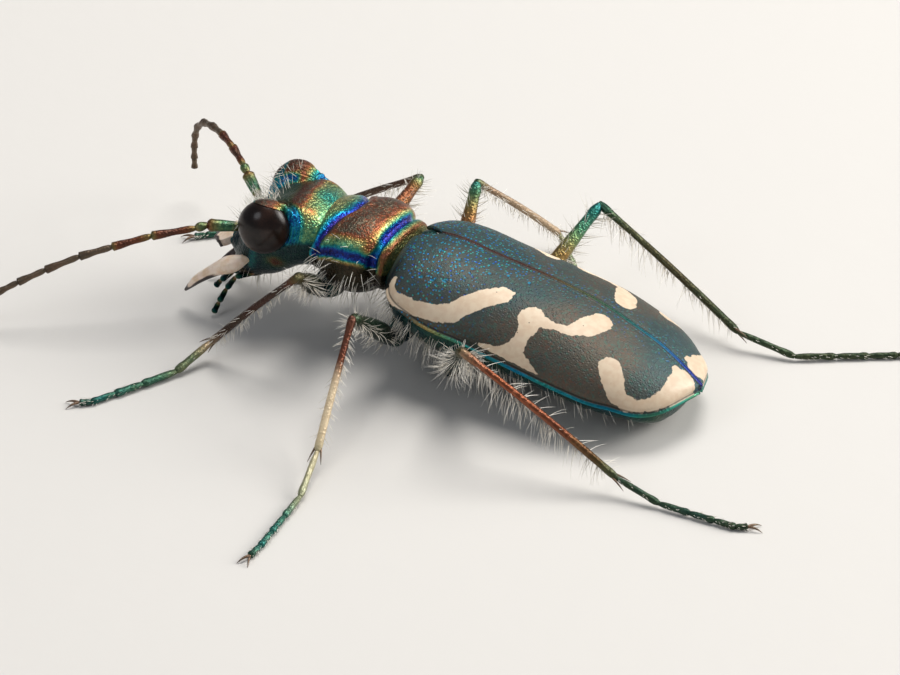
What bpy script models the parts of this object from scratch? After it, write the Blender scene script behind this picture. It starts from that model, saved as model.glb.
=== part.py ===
"""A tiger beetle standing on the floor at life size, head to +X, its left side to +Y.

Sizes are in millimetres and become metres where a mesh is made. The trunk is drawn in the body's
own axes, whose origin is on top of the scutellum, and is tipped nose up as one. The head, with its
jaws and palps, turns a little more about the neck. The legs and feelers are drawn in the floor's
axes, with the same origin dropped to the floor.
"""

import math

import bmesh
import bpy
import numpy as np
from mathutils import Matrix, Vector

MM = 0.001
GAP = 0.3
WELD = 0.0005

# Stance: height of the scutellum, the trunk's lean, tilt and heading, and the middle of the footprint
SCUTELLUM_HEIGHT = 3.48
LEAN_TO_RIGHT = 6.9
NOSE_UP = 8.0
HEADING = -1.1
FOOTPRINT_MIDDLE = (-0.42, 2.88)

# The head turns and leans a little more, about the neck
NECK = (2.65, 0, -1.15)
HEAD_TURN = 10.4
HEAD_LEAN = 2.0

# Wing cases
ELYTRA_LENGTH = 8.87
ELYTRON_WALL = 0.5
ELYTRA_ROUNDNESS = 2.22
SCUTELLUM_NOTCH = 0.6
SCUTELLUM_LENGTH = 0.95

# Half width, height of the seam and depth of the dome, at shares of the wing cases' length
ELYTRA_WIDTHS = (
    (0, 1.95), (0.03, 2.15), (0.12, 2.34), (0.3, 2.38), (0.5, 2.42), (0.65, 2.46), (0.8, 2.25),
    (0.9, 1.78), (0.96, 1.2), (1, 0.33),
)
ELYTRA_SEAM = (
    (0, 0.05), (0.1, 0.25), (0.25, 0.27), (0.5, 0.27), (0.62, 0.19), (0.75, -0.05), (0.85, -0.28),
    (0.93, -0.58), (1, -0.9),
)
ELYTRA_DEPTHS = ((0, 1.18), (0.1, 1.55), (0.3, 1.66), (0.6, 1.63), (0.8, 1.29), (0.92, 0.95), (1, 0.25))

# Hind body under the wing cases
BELLY_INSET = 0.25
BELLY_ROUNDNESS = 1.8
BELLY_EDGE = 0.12
BELLY_DEPTHS = ((0, 0.6), (1.2, 0.85), (2.6, 0.85), (5, 0.42), (7.4, 0.32), (8.8, 0.1))
THORAX_SPAN = (-0.1, -2.75)
ABDOMEN_SPAN = (-3.05, -8.35)
SEGMENT_LENGTH = 0.88
SEGMENT_STEP = 0.05

# Forebody: place along the body, half width, top, widest level and bottom of each section
PROTHORAX_SECTIONS = (
    (0.42, 1.1, -0.3, -0.95, -1.8),
    (0.52, 1.3, -0.16, -0.95, -1.95),
    (0.75, 1.2, -0.16, -1.0, -2.05),
    (0.95, 1.48, 0.0, -1.05, -2.2),
    (1.3, 1.64, 0.06, -1.1, -2.35),
    (1.7, 1.68, 0.03, -1.15, -2.4),
    (2.05, 1.58, -0.07, -1.15, -2.35),
    (2.32, 1.42, -0.24, -1.15, -2.2),
    (2.55, 1.46, -0.18, -1.15, -2.1),
    (2.72, 1.3, -0.3, -1.15, -1.95),
)

# The same for the head, in axes that have their origin at the neck
HEAD_SECTIONS = (
    (0.58, 1.16, 0.88, 0.0, -0.9),
    (0.72, 1.3, 1.02, 0.0, -1.15),
    (0.95, 1.36, 1.02, -0.1, -1.38),
    (1.25, 1.38, 0.92, -0.25, -1.58),
    (1.6, 1.36, 0.76, -0.4, -1.72),
    (1.95, 1.3, 0.5, -0.6, -1.8),
    (2.25, 1.16, 0.1, -0.8, -1.75),
    (2.48, 0.98, -0.24, -0.9, -1.6),
    (2.6, 0.8, -0.44, -0.95, -1.4),
)
FOREBODY_ROUNDNESS = 2.3

EYE_CENTRE = (1.68, 1.4, 0.13)
EYE_SEMIAXES = (0.7, 0.55, 0.79)
EYE_INNER_PLANE = 1.05

# The lip hangs from the front edge of the head and lies along the slope of the face
LIP_HINGE = (3.08, -0.66)
LIP_SIZE = (0.6, 1.4, 0.36)
FACE_SLOPE = 50
LIP_TOOTH = 0.2

MANDIBLE_LINE = (
    (2.28, 1.02, -1.36), (2.55, 1.15, -1.56), (2.86, 1.18, -1.82), (3.3, 1.06, -2.32), (3.72, 0.8, -2.9),
)
MANDIBLE_RADII = (0.3, 0.32, 0.27, 0.2, 0.07)
MANDIBLE_TEETH = 3
TOOTH_LENGTH = 0.3
TOOTH_RADIUS = 0.12

# Mouth feelers, from the head down to just above the floor
PALP_LINES = {
    "maxillary_palp": ((1.75, 0.72, -2.0), (2.1, 1.05, -2.25), (2.4, 1.25, -2.5), (2.5, 1.32, -2.75)),
    "labial_palp": ((2.2, 0.34, -2.2), (2.58, 0.46, -2.46), (2.78, 0.52, -2.66)),
}
PALP_RADIUS = 0.25
PALP_TIP_RADIUS = 0.16

# Feelers: the joint between each two of the eleven segments, from the socket out to the tip
ANTENNA_LEFT = (
    (5.16, 1.32, 2.77), (5.92, 1.8, 2.86), (6.14, 2.08, 2.84), (7.1, 2.85, 2.72), (7.96, 3.54, 2.48),
    (8.7, 4.08, 2.24), (9.48, 4.62, 1.86), (10.12, 5.05, 1.5), (10.66, 5.36, 1.14), (11.1, 5.62, 0.84),
    (11.42, 5.8, 0.62), (11.7, 5.92, 0.48),
)
ANTENNA_RIGHT = (
    (5.5, -0.3, 2.75), (6.08, -0.66, 3.16), (6.32, -0.86, 3.26), (6.98, -1.4, 3.34), (7.6, -1.86, 3.34),
    (8.16, -2.24, 3.24), (8.64, -2.56, 3.04), (8.98, -2.78, 2.66), (9.14, -2.9, 2.24), (9.2, -2.94, 1.84),
    (9.22, -2.96, 1.46), (9.22, -2.96, 1.14),
)
ANTENNA_RADIUS = 0.26
ANTENNA_TIP_RADIUS = 0.16
ANTENNA_CUTS = (4, 7)

# Legs: hips and the starts of the thighs in the trunk's axes, mirrored on the right
HIPS = {"front": (2.2, 0.62, -2.35), "middle": (-0.35, 0.75, -2.4), "hind": (-2.15, 0.8, -2.35)}
THIGH_STARTS = {"front": (2.22, 1.35, -2.32), "middle": (-0.45, 1.7, -2.6), "hind": (-2.4, 1.95, -2.55)}

# Knee, ankle, end of the first foot segment, last foot joint and claw tips of each leg, on the floor's axes
LEGS = {
    "leg_front_left": (
        (2.01, 3.58, 3.35), (4.62, 3.87, 0.6), (5.06, 5.03, 0.34),
        (6.36, 7.36, 0.2), (6.95, 7.74, 0.14),
    ),
    "leg_middle_left": (
        (-0.05, 4.19, 3.05), (-0.57, 7.05, 0.6), (-0.9, 8.55, 0.34),
        (-1.07, 10.94, 0.2), (-1.03, 12.06, 0.14),
    ),
    "leg_hind_left": (
        (-3.65, 4.6, 3.35), (-8.15, 4.24, 0.55), (-9.41, 4.24, 0.34),
        (-11.64, 4.15, 0.2), (-12.24, 3.8, 0.14),
    ),
    "leg_front_right": (
        (2.15, -3.57, 2.6), (5.26, -3.73, 0.55), (6.12, -3.0, 0.34),
        (7.95, -1.4, 0.2), (8.5, -0.95, 0.14),
    ),
    "leg_middle_right": (
        (0.33, -3.53, 3.01), (-1.12, -5.75, 0.52), (-2.1, -4.85, 0.34),
        (-4.2, -3.75, 0.2), (-4.85, -3.55, 0.14),
    ),
    "leg_hind_right": (
        (-2.85, -4.88, 2.5), (-7.82, -3.65, 0.52), (-9.49, -3.81, 0.34),
        (-11.91, -5.3, 0.2), (-12.58, -5.72, 0.14),
    ),
}
HIP_RADIUS = 0.38
FEMUR_RADII = {
    "front": (0.36, 0.33, 0.26), "middle": (0.33, 0.31, 0.26), "hind": (0.33, 0.32, 0.26),
}
TIBIA_RADII = (0.27, 0.25, 0.27)
FOOT_RADIUS = 0.25
FOOT_TIP_RADIUS = 0.18
KNEE_ROUNDING = 0.3
SPUR_LENGTH = 0.6
SPUR_RADIUS = 0.14
SPUR_ALONG, SPUR_ASIDE, SPUR_RISE = 0.6, 0.9, 0.12
CLAW_LENGTH = 0.5
CLAW_SPREAD = 24
CLAW_RADIUS = 0.13

# Colour, roughness and metallic value of each part
FINISHES = {
    "wing_case_slate": ((0.05, 0.09, 0.1), 0.42, 0.35),
    "pronotum_copper": ((0.16, 0.12, 0.04), 0.3, 0.8),
    "head_green": ((0.03, 0.16, 0.12), 0.28, 0.8),
    "eye_brown": ((0.035, 0.025, 0.03), 0.15, 0.0),
    "jaw_cream": ((0.62, 0.5, 0.36), 0.35, 0.0),
    "belly_green_black": ((0.015, 0.035, 0.035), 0.35, 0.6),
    "leg_bronze": ((0.09, 0.05, 0.03), 0.35, 0.6),
    "feeler_brown": ((0.06, 0.04, 0.025), 0.45, 0.3),
}


def clear_scene():
    for obj in list(bpy.data.objects):
        bpy.data.objects.remove(obj)


def new_collection(name):
    collection = bpy.data.collections.new(name)
    bpy.context.scene.collection.children.link(collection)
    return collection


def finish(name):
    """The material of that name, made where it is first asked for."""
    if name in bpy.data.materials:
        return bpy.data.materials[name]
    colour, roughness, metallic = FINISHES[name]
    made = bpy.data.materials.new(name)
    made.use_nodes = True
    shader = made.node_tree.nodes["Principled BSDF"]
    shader.inputs["Base Color"].default_value = (*colour, 1)
    shader.inputs["Roughness"].default_value = roughness
    shader.inputs["Metallic"].default_value = metallic
    return made


def axes(name, parent=None, place=(0, 0, 0), lean=0.0, nose_up=0.0, turn=0.0):
    """An empty that carries the pieces drawn in its axes."""
    empty = bpy.data.objects.new(name, None)
    BEETLE.objects.link(empty)
    empty.parent = parent
    empty.location = Vector(place) * MM
    empty.rotation_euler = (math.radians(lean), -math.radians(nose_up), math.radians(turn))
    return empty


def add_object(name, bm, carrier, finish_name=None, collection=None):
    """A named object from a mesh drawn in millimetres."""
    bmesh.ops.recalc_face_normals(bm, faces=bm.faces)
    bmesh.ops.scale(bm, vec=(MM, MM, MM), verts=bm.verts)
    mesh = bpy.data.meshes.new(name)
    bm.to_mesh(mesh)
    bm.free()
    obj = bpy.data.objects.new(name, mesh)
    (collection or BEETLE).objects.link(obj)
    obj.parent = carrier
    if finish_name:
        mesh.materials.append(finish(finish_name))
    return obj


def smooth_value(place, stops):
    """A smooth curve through the stops, read at one place."""
    places, values = np.array(stops, float).T
    slopes = np.gradient(values, places)
    i = int(np.clip(np.searchsorted(places, place) - 1, 0, len(places) - 2))
    span = places[i + 1] - places[i]
    t = np.clip((place - places[i]) / span, 0, 1)
    ends = values[i] * (1 + 2 * t) * (1 - t) ** 2 + values[i + 1] * t * t * (3 - 2 * t)
    return float(ends + span * t * (1 - t) * (slopes[i] * (1 - t) - slopes[i + 1] * t))


def loft(rings):
    """A closed mesh through rings of points, the same number in each."""
    bm = bmesh.new()
    rows = [[bm.verts.new(point) for point in ring] for ring in rings]
    count = len(rows[0])
    for near, far in zip(rows, rows[1:]):
        for i in range(count):
            j = (i + 1) % count
            bm.faces.new((near[i], near[j], far[j], far[i]))
    bm.faces.new(rows[0][::-1])
    bm.faces.new(rows[-1])
    return bm


def egg_ring(x, half_width, top, widest, bottom, roundness, points=20):
    """A closed section with its own heights above and below its widest level."""
    ring = []
    for i in range(points):
        turn = 2 * math.pi * (i + 0.5) / points
        across = math.copysign(abs(math.cos(turn)) ** (2 / roundness), math.cos(turn))
        rise = math.copysign(abs(math.sin(turn)) ** (2 / roundness), math.sin(turn))
        reach = top - widest if rise > 0 else widest - bottom
        ring.append((x, half_width * across, widest + reach * rise))
    return ring


def tube(points, radii):
    """A closed tube along straight runs between points, with a radius at each."""
    curve = bpy.data.curves.new("tube", "CURVE")
    curve.dimensions = "3D"
    curve.bevel_depth = MM
    curve.bevel_resolution = 2
    curve.use_fill_caps = True
    spline = curve.splines.new("POLY")
    spline.points.add(len(points) - 1)
    for knot, place, radius in zip(spline.points, points, radii):
        knot.co = (*(Vector(place) * MM), 1)
        knot.radius = radius
    obj = bpy.data.objects.new("tube", curve)
    BEETLE.objects.link(obj)
    bpy.context.view_layer.update()
    mesh = bpy.data.meshes.new_from_object(obj.evaluated_get(bpy.context.evaluated_depsgraph_get()))
    bpy.data.objects.remove(obj)
    bm = bmesh.new()
    bm.from_mesh(mesh)
    bpy.data.meshes.remove(mesh)
    bmesh.ops.scale(bm, vec=(1 / MM, 1 / MM, 1 / MM), verts=bm.verts)
    bmesh.ops.remove_doubles(bm, verts=bm.verts, dist=WELD)
    return bm


def spike(root, tip, radius, sides=6):
    """A cone from its root to a small blunt tip."""
    axis = Vector(tip) - Vector(root)
    turn = axis.to_track_quat("Z", "Y").to_matrix().to_4x4()
    bm = bmesh.new()
    bmesh.ops.create_cone(
        bm, cap_ends=True, segments=sides, radius1=radius, radius2=radius * 0.25, depth=axis.length,
        matrix=Matrix.Translation((Vector(root) + Vector(tip)) / 2) @ turn,
    )
    return bm


def ellipsoid(centre, semiaxes, grow=0.0, segments=20, rings=12):
    bm = bmesh.new()
    bmesh.ops.create_uvsphere(bm, u_segments=segments, v_segments=rings, radius=1)
    bmesh.ops.scale(bm, vec=[size + grow for size in semiaxes], verts=bm.verts)
    bmesh.ops.translate(bm, vec=centre, verts=bm.verts)
    return bm


def slice_off(bm, point, normal):
    """Removes what lies on the normal's side of a plane and closes the cut."""
    geometry = bm.verts[:] + bm.edges[:] + bm.faces[:]
    bmesh.ops.bisect_plane(bm, geom=geometry, dist=1e-6, plane_co=point, plane_no=normal, clear_outer=True)
    bmesh.ops.holes_fill(bm, edges=[edge for edge in bm.edges if edge.is_boundary], sides=0)


def keep_largest(mesh):
    """Leaves only the closed surface with the most volume."""
    bm = bmesh.new()
    bm.from_mesh(mesh)
    bmesh.ops.remove_doubles(bm, verts=bm.verts, dist=WELD * MM)
    left = set(bm.faces)
    surfaces = []
    while left:
        found = [left.pop()]
        for face in found:
            near = {other for edge in face.edges for other in edge.link_faces} & left
            left -= near
            found.extend(near)
        surfaces.append(found)
    surfaces.sort(key=lambda faces: sum(face.calc_area() for face in faces))
    drop = [face for faces in surfaces[:-1] for face in faces]
    bmesh.ops.delete(bm, geom=drop, context="FACES")
    bm.to_mesh(mesh)
    bm.free()


def combine(node, operation, pieces, solver="EXACT"):
    """Joins or cuts a node with closed pieces in one go, and removes the pieces."""
    group = bpy.data.collections.new("pieces")
    for piece in pieces:
        group.objects.link(piece)
        piece.display_type = "WIRE"
        piece.hide_render = True
    boolean = node.modifiers.new(operation.title(), "BOOLEAN")
    boolean.operation = operation
    boolean.operand_type = "COLLECTION"
    boolean.collection = group
    boolean.solver = solver
    bpy.context.view_layer.update()
    mesh = bpy.data.meshes.new_from_object(node.evaluated_get(bpy.context.evaluated_depsgraph_get()))
    node.modifiers.clear()
    node.data = mesh
    for piece in pieces:
        bpy.data.objects.remove(piece)
    bpy.data.collections.remove(group)
    keep_largest(mesh)
    return node


def mirrored(point):
    return (point[0], -point[1], point[2])


def side_of(name, point):
    """The point on the left, or its mirror image for a right-hand piece."""
    return mirrored(point) if name.endswith("right") else tuple(point)


# Wing cases and the hind body


def elytra_profile(s):
    """Half width, top and height of the dome at a share of the length."""
    return smooth_value(s, ELYTRA_WIDTHS), smooth_value(s, ELYTRA_SEAM), smooth_value(s, ELYTRA_DEPTHS)


def dome_height(y, half_width, height):
    share = min(abs(y) / half_width, 1)
    return height * (1 - share**ELYTRA_ROUNDNESS) ** (1 / ELYTRA_ROUNDNESS)


def elytron_ring(s, outer_points=9, inner_points=7):
    """Over the dome from the seam to the margin, and back under the wall."""
    half_width, top, height = elytra_profile(s)
    seam = max(GAP / 2, SCUTELLUM_NOTCH * (1 - s * ELYTRA_LENGTH / SCUTELLUM_LENGTH))
    wall = min(ELYTRON_WALL, 0.45 * height, 0.45 * half_width)
    ring = []
    for i in range(outer_points):
        y = seam + (half_width - seam) * math.sin(math.pi / 2 * i / (outer_points - 1))
        ring.append((y, top - height + dome_height(y, half_width, height)))
    inner_width = half_width - wall
    inner_seam = min(seam, inner_width - 0.05)
    for i in reversed(range(inner_points)):
        y = inner_seam + (inner_width - inner_seam) * math.sin(math.pi / 2 * i / (inner_points - 1))
        ring.append((y, top - height + dome_height(y, inner_width, height - wall)))
    return [(-s * ELYTRA_LENGTH, y, z) for y, z in ring]


def make_elytron(name):
    shares = (0, 0.02, 0.06, 0.1, 0.15, 0.22, 0.3, 0.4, 0.5, 0.6, 0.7, 0.78, 0.84, 0.89, 0.93, 0.96, 0.985)
    rings = [[side_of(name, point) for point in elytron_ring(s)] for s in shares]
    return add_object(name, loft(rings), TRUNK, "wing_case_slate")


def hind_body_ring(x, step=0.0, dome_points=9, belly_points=9):
    """A low dome inside the wing cases, a ledge under their margin and the belly below."""
    s = -x / ELYTRA_LENGTH
    half_width, top, height = elytra_profile(max(s, 0))
    ledge = top - height - GAP
    inner_width = half_width - ELYTRON_WALL - GAP
    inner_height = height - min(ELYTRON_WALL, 0.45 * height)
    belly_width = max(half_width - BELLY_INSET, inner_width + 0.1) - step
    depth = smooth_value(-x, BELLY_DEPTHS) - step
    ring = []
    for i in range(dome_points):
        turn = math.pi * i / (dome_points - 1)
        y = inner_width * math.cos(turn)
        ring.append((x, y, ledge + inner_height * math.sin(turn) ** (2 / ELYTRA_ROUNDNESS)))
    for i in range(belly_points):
        turn = math.pi * i / (belly_points - 1)
        across = math.copysign(abs(math.cos(turn)) ** (2 / BELLY_ROUNDNESS), math.cos(turn))
        drop = depth * math.sin(turn) ** (2 / BELLY_ROUNDNESS)
        ring.append((x, -belly_width * across, ledge - BELLY_EDGE - drop))
    return ring


def pair_of(name):
    return name.split("_")[1]


def on_floor_axes(name, places):
    """A leg's place on the trunk, in the floor's axes."""
    return TRUNK.matrix_basis @ (Vector(side_of(name, places[pair_of(name)])) * MM) / MM


def leg_line(name):
    """Hip, thigh's start, knee, ankle, heel, last foot joint and claw tips."""
    root = [on_floor_axes(name, places) for places in (HIPS, THIGH_STARTS)]
    return [*root, *[Vector(point) for point in LEGS[name]]]


def femur_path(name):
    _, start, knee, ankle = leg_line(name)[:4]
    down = (ankle - knee).normalized()
    along = (knee - start).normalized()
    middle = knee + (down - along) * KNEE_ROUNDING * 0.25
    return start, along, knee - along * KNEE_ROUNDING, middle, knee + down * KNEE_ROUNDING, down


def femur_mesh(name, grow=0.0):
    """The thigh, thickest near its base, with the knee rounded into it."""
    start, along, before, middle, after, down = femur_path(name)
    root, belly, knee = [radius + grow for radius in FEMUR_RADII[pair_of(name)]]
    reach = (before - start).length
    points = [start - along * grow, start + along * reach * 0.12, start + along * reach * 0.35]
    points += [start + along * reach * 0.7, before, middle, after + down * 0.2]
    radii = [0.75 * root, root, root, belly, knee, knee, knee]
    return tube(points, radii)


def hip_pieces(names):
    """Rounded hip and trochanter of each leg, which grow from the underside of the body."""
    pieces = []
    for name in names:
        hip, start = leg_line(name)[:2]
        line = [hip + (hip - start) * 0.4, hip, (hip + start) / 2, start]
        radii = (0.8 * HIP_RADIUS, HIP_RADIUS, HIP_RADIUS, 0.75 * HIP_RADIUS)
        pieces.append(add_object("hip", tube(line, radii), FLOOR))
    return pieces


def femur_clearances(names):
    return [add_object("clearance", femur_mesh(name, GAP), FLOOR) for name in names]


def make_thorax():
    """The middle and hind thorax, with the scutellum and four hips fused to it."""
    front, back = THORAX_SPAN
    rings = [hind_body_ring(front + (back - front) * i / 7) for i in range(8)]
    node = add_object("thorax", loft(rings), TRUNK, "belly_green_black")
    legs = [name for name in LEGS if pair_of(name) != "front"]
    plate = loft([
        [(x, y, z) for y, z in ((-w, -0.95), (w, -0.95), (w, -0.04), (-w, -0.04))]
        for x, w in ((-0.12, 0.25), (-0.3, 0.16), (-0.48, 0.06))
    ])
    combine(node, "UNION", [add_object("plate", plate, TRUNK), *hip_pieces(legs)])
    return combine(node, "DIFFERENCE", femur_clearances(legs))


def make_abdomen():
    """Ringed belly segments, each with a raised hind edge."""
    front, back = ABDOMEN_SPAN
    rings = []
    edge = front
    while edge - SEGMENT_LENGTH > back - 0.3:
        rings.append(hind_body_ring(edge, SEGMENT_STEP))
        rings.append(hind_body_ring(edge - SEGMENT_LENGTH + 0.14))
        edge -= SEGMENT_LENGTH
    rings.append(hind_body_ring(back))
    node = add_object("abdomen", loft(rings), TRUNK, "belly_green_black")
    return combine(node, "DIFFERENCE", femur_clearances(["leg_hind_left", "leg_hind_right"]))


# Forebody


def make_prothorax():
    rings = [egg_ring(*section, FOREBODY_ROUNDNESS) for section in PROTHORAX_SECTIONS]
    node = add_object("prothorax", loft(rings), TRUNK, "pronotum_copper")
    legs = ["leg_front_left", "leg_front_right"]
    combine(node, "UNION", hip_pieces(legs))
    return combine(node, "DIFFERENCE", femur_clearances(legs))


def eye_mesh(name, grow=0.0):
    bm = ellipsoid(side_of(name, EYE_CENTRE), EYE_SEMIAXES, grow)
    slice_off(bm, side_of(name, (0, EYE_INNER_PLANE - grow, 0)), side_of(name, (0, -1, 0)))
    return bm


def make_head():
    rings = [egg_ring(*section, FOREBODY_ROUNDNESS) for section in HEAD_SECTIONS]
    node = add_object("head", loft(rings), HEAD, "head_green")
    sockets = []
    for side in ("left", "right"):
        sockets.append(add_object("socket", eye_mesh("eye_" + side, GAP), HEAD))
        sockets.append(add_object("socket", mandible_mesh("mandible_" + side, GAP), HEAD))
    return combine(node, "DIFFERENCE", sockets)


def make_eye(name):
    return add_object(name, eye_mesh(name), HEAD, "eye_brown")


def make_lip():
    """The upper lip, a plate with three blunt teeth on its front edge."""
    length, width, thickness = LIP_SIZE
    lean = Matrix.Rotation(math.radians(FACE_SLOPE), 4, "Y")
    place = Matrix.Translation((LIP_HINGE[0], 0, LIP_HINGE[1])) @ lean
    bm = bmesh.new()
    bmesh.ops.create_cube(bm, size=1)
    bmesh.ops.scale(bm, vec=(length, width, thickness), verts=bm.verts)
    bmesh.ops.translate(bm, vec=(length / 2, 0, -thickness / 2), verts=bm.verts)
    front = [vert for vert in bm.verts if vert.co.x > length / 2]
    bmesh.ops.scale(bm, vec=(1, 0.8, 0.7), verts=front)
    bmesh.ops.bevel(bm, geom=bm.edges[:], offset=0.1, segments=2, affect="EDGES")
    bmesh.ops.transform(bm, matrix=place, verts=bm.verts)
    node = add_object("labrum", bm, HEAD, "jaw_cream")
    teeth = []
    for i in (-1, 0, 1):
        root = place @ Vector((length - 0.15, i * 0.34, -0.2))
        tip = place @ Vector((length + LIP_TOOTH, i * 0.36, -0.2))
        teeth.append(add_object("tooth", spike(root, tip, 0.15), HEAD))
    return combine(node, "UNION", teeth)


def mandible_mesh(name, grow=0.0):
    line = [Vector(side_of(name, point)) for point in MANDIBLE_LINE]
    line[0] += (line[0] - line[1]).normalized() * grow
    return tube(line, [radius + grow for radius in MANDIBLE_RADII])


def make_mandible(name):
    """A sickle jaw with teeth along its inner edge."""
    line = [Vector(side_of(name, point)) for point in MANDIBLE_LINE]
    node = add_object(name, mandible_mesh(name), HEAD, "jaw_cream")
    inward = Vector(side_of(name, (0.25, -0.95, -0.2))).normalized()
    teeth = []
    for i in range(MANDIBLE_TEETH):
        root = line[i + 1].lerp(line[i + 2], 0.35)
        tip = root + inward * (TOOTH_LENGTH + MANDIBLE_RADII[i + 1] - 0.04 * i)
        teeth.append(add_object("tooth", spike(root, tip, TOOTH_RADIUS), HEAD))
    return combine(node, "UNION", teeth)


# Feelers and palps


def jointed(joints, start_radius, end_radius):
    """Points and radii of a limb whose segments swell from a thin joint to a thick end."""
    points, radii = [], []
    for i, (near, far) in enumerate(zip(joints, joints[1:])):
        near, far = Vector(near), Vector(far)
        radius = start_radius + (end_radius - start_radius) * i / max(len(joints) - 2, 1)
        for share, swell in ((0.06, 0.8), (0.4, 0.95), (0.9, 1.08)):
            points.append(near.lerp(far, share))
            radii.append(radius * swell)
    return points, radii


def trimmed(joints, at_start=0.0, at_end=0.0):
    """The joints with the first and the last one drawn in along the limb."""
    line = [Vector(point) for point in joints]
    line[0] += (line[1] - line[0]).normalized() * at_start
    line[-1] += (line[-2] - line[-1]).normalized() * at_end
    return line


def make_antenna(side, joints):
    """A feeler in three lengths, parted by gaps at two of its joints."""
    ends = (0, *ANTENNA_CUTS, len(joints) - 1)
    for name, first, last in zip(("base", "middle", "tip"), ends, ends[1:]):
        thinning = (ANTENNA_TIP_RADIUS - ANTENNA_RADIUS) / (len(joints) - 1)
        sizes = [ANTENNA_RADIUS + thinning * i for i in (first, last)]
        line = trimmed(joints[first:last + 1], GAP / 2 if first else GAP, GAP / 2 if name != "tip" else 0)
        points, radii = jointed(line, *sizes)
        finish_name = "leg_bronze" if name == "base" else "feeler_brown"
        add_object(f"antenna_{side}_{name}", tube(points, radii), FLOOR, finish_name)


def make_palp(name):
    joints = [side_of(name, point) for point in PALP_LINES[name.rsplit("_", 1)[0]]]
    points, radii = jointed(joints, PALP_RADIUS, PALP_TIP_RADIUS)
    return add_object(name, tube(points, radii), HEAD, "belly_green_black")


# Legs


def make_femur(name):
    _, along, _, middle, _, down = femur_path(name)
    bm = femur_mesh(name)
    bend = (along + down).normalized()
    slice_off(bm, middle - bend * GAP / 2, bend)
    return add_object(name + "_femur", bm, FLOOR, "leg_bronze")


def make_tibia(name):
    """The shin, from the knee's mitre to the ankle, with two spurs at its end."""
    _, along, before, middle, after, down = femur_path(name)
    ankle, heel = leg_line(name)[3:5]
    onward = (heel - ankle).normalized()
    top, shaft, end = TIBIA_RADII
    points = [before - along * 0.2, middle, after, after.lerp(ankle, 0.5), ankle - down * 0.4]
    points.append(ankle + down * 0.25)
    bm = tube(points, (top, top, top, shaft, end, end))
    bend = (along + down).normalized()
    slice_off(bm, middle + bend * GAP / 2, -bend)
    turn = (down + onward).normalized()
    slice_off(bm, ankle - turn * GAP / 2, turn)
    node = add_object(name + "_tibia", bm, FLOOR, "leg_bronze")
    across = down.cross(onward).normalized()
    spurs = []
    for hand in (-1, 1):
        root = ankle - down * 0.55 + across * hand * 0.12
        aim = down * SPUR_ALONG + across * hand * SPUR_ASIDE + Vector((0, 0, SPUR_RISE))
        tip = root + aim.normalized() * SPUR_LENGTH
        spurs.append(add_object("spur", spike(root, tip, SPUR_RADIUS), FLOOR))
    return combine(node, "UNION", spurs)


def make_foot(name):
    """Five foot segments and two claws, with small flats where they rest on the floor."""
    knee, ankle, heel, last, tips = leg_line(name)[2:]
    down = (ankle - knee).normalized()
    onward = (heel - ankle).normalized()
    joints = [ankle, heel, heel.lerp(last, 0.4), heel.lerp(last, 0.72), last, last.lerp(tips, 0.45)]
    points, radii = jointed(joints, FOOT_RADIUS, FOOT_TIP_RADIUS)
    points[0] = ankle - onward * 0.3
    bm = tube(points, radii)
    turn = (down + onward).normalized()
    slice_off(bm, ankle + turn * GAP / 2, -turn)
    node = add_object(name + "_foot", bm, FLOOR, "leg_bronze")
    forward = (tips - last).normalized()
    claws = []
    for hand in (-1, 1):
        aim = Matrix.Rotation(math.radians(hand * CLAW_SPREAD), 3, "Z") @ forward
        root = last.lerp(tips, 0.3)
        tip = root + aim * CLAW_LENGTH
        claws.append(add_object("claw", spike(root, (tip.x, tip.y, 0.1), CLAW_RADIUS), FLOOR))
    combine(node, "UNION", claws)
    floor = bmesh.new()
    bmesh.ops.create_cube(floor, size=2)
    bmesh.ops.scale(floor, vec=(20, 20, 1), verts=floor.verts)
    bmesh.ops.translate(floor, vec=(0, 0, -1), verts=floor.verts)
    return combine(node, "DIFFERENCE", [add_object("floor", floor, FLOOR)])


def shade(angle=35):
    """Round forms shaded smooth, with the corners kept."""
    for obj in BEETLE.objects:
        if obj.type == "MESH":
            obj.data.shade_smooth()
            obj.data.set_sharp_from_angle(angle=math.radians(angle))


clear_scene()
BEETLE = new_collection("tiger_beetle")
STANCE = axes("stance", place=(-FOOTPRINT_MIDDLE[0], -FOOTPRINT_MIDDLE[1], 0))
FLOOR = axes("floor_axes", STANCE)
TRUNK = axes("body_axes", STANCE, (0, 0, SCUTELLUM_HEIGHT), LEAN_TO_RIGHT, NOSE_UP, HEADING)
HEAD = axes("head_axes", TRUNK, NECK, HEAD_LEAN, 0, HEAD_TURN)
bpy.context.view_layer.update()

make_head()
make_lip()
make_prothorax()
make_thorax()
make_abdomen()
for side in ("left", "right"):
    make_eye("eye_" + side)
    make_mandible("mandible_" + side)
    make_elytron("elytron_" + side)
    for palp in PALP_LINES:
        make_palp(f"{palp}_{side}")
make_antenna("left", ANTENNA_LEFT)
make_antenna("right", ANTENNA_RIGHT)
for leg in LEGS:
    make_femur(leg)
    make_tibia(leg)
    make_foot(leg)
shade()
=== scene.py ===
# %% [markdown]
# # A tiger beetle, life size
# This script dresses the solid model of a tiger beetle with its real surfaces. The solids come
# first, as a fixed frame: every piece made here sits where one of them is.
# All the work is done in millimetres, in the body's own axes, and a piece becomes metres only
# when it is finished. That keeps each number as it would be read off a specimen under a lens.

import math

import bpy
import numpy as np
from mathutils import Euler, Matrix, Vector


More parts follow.
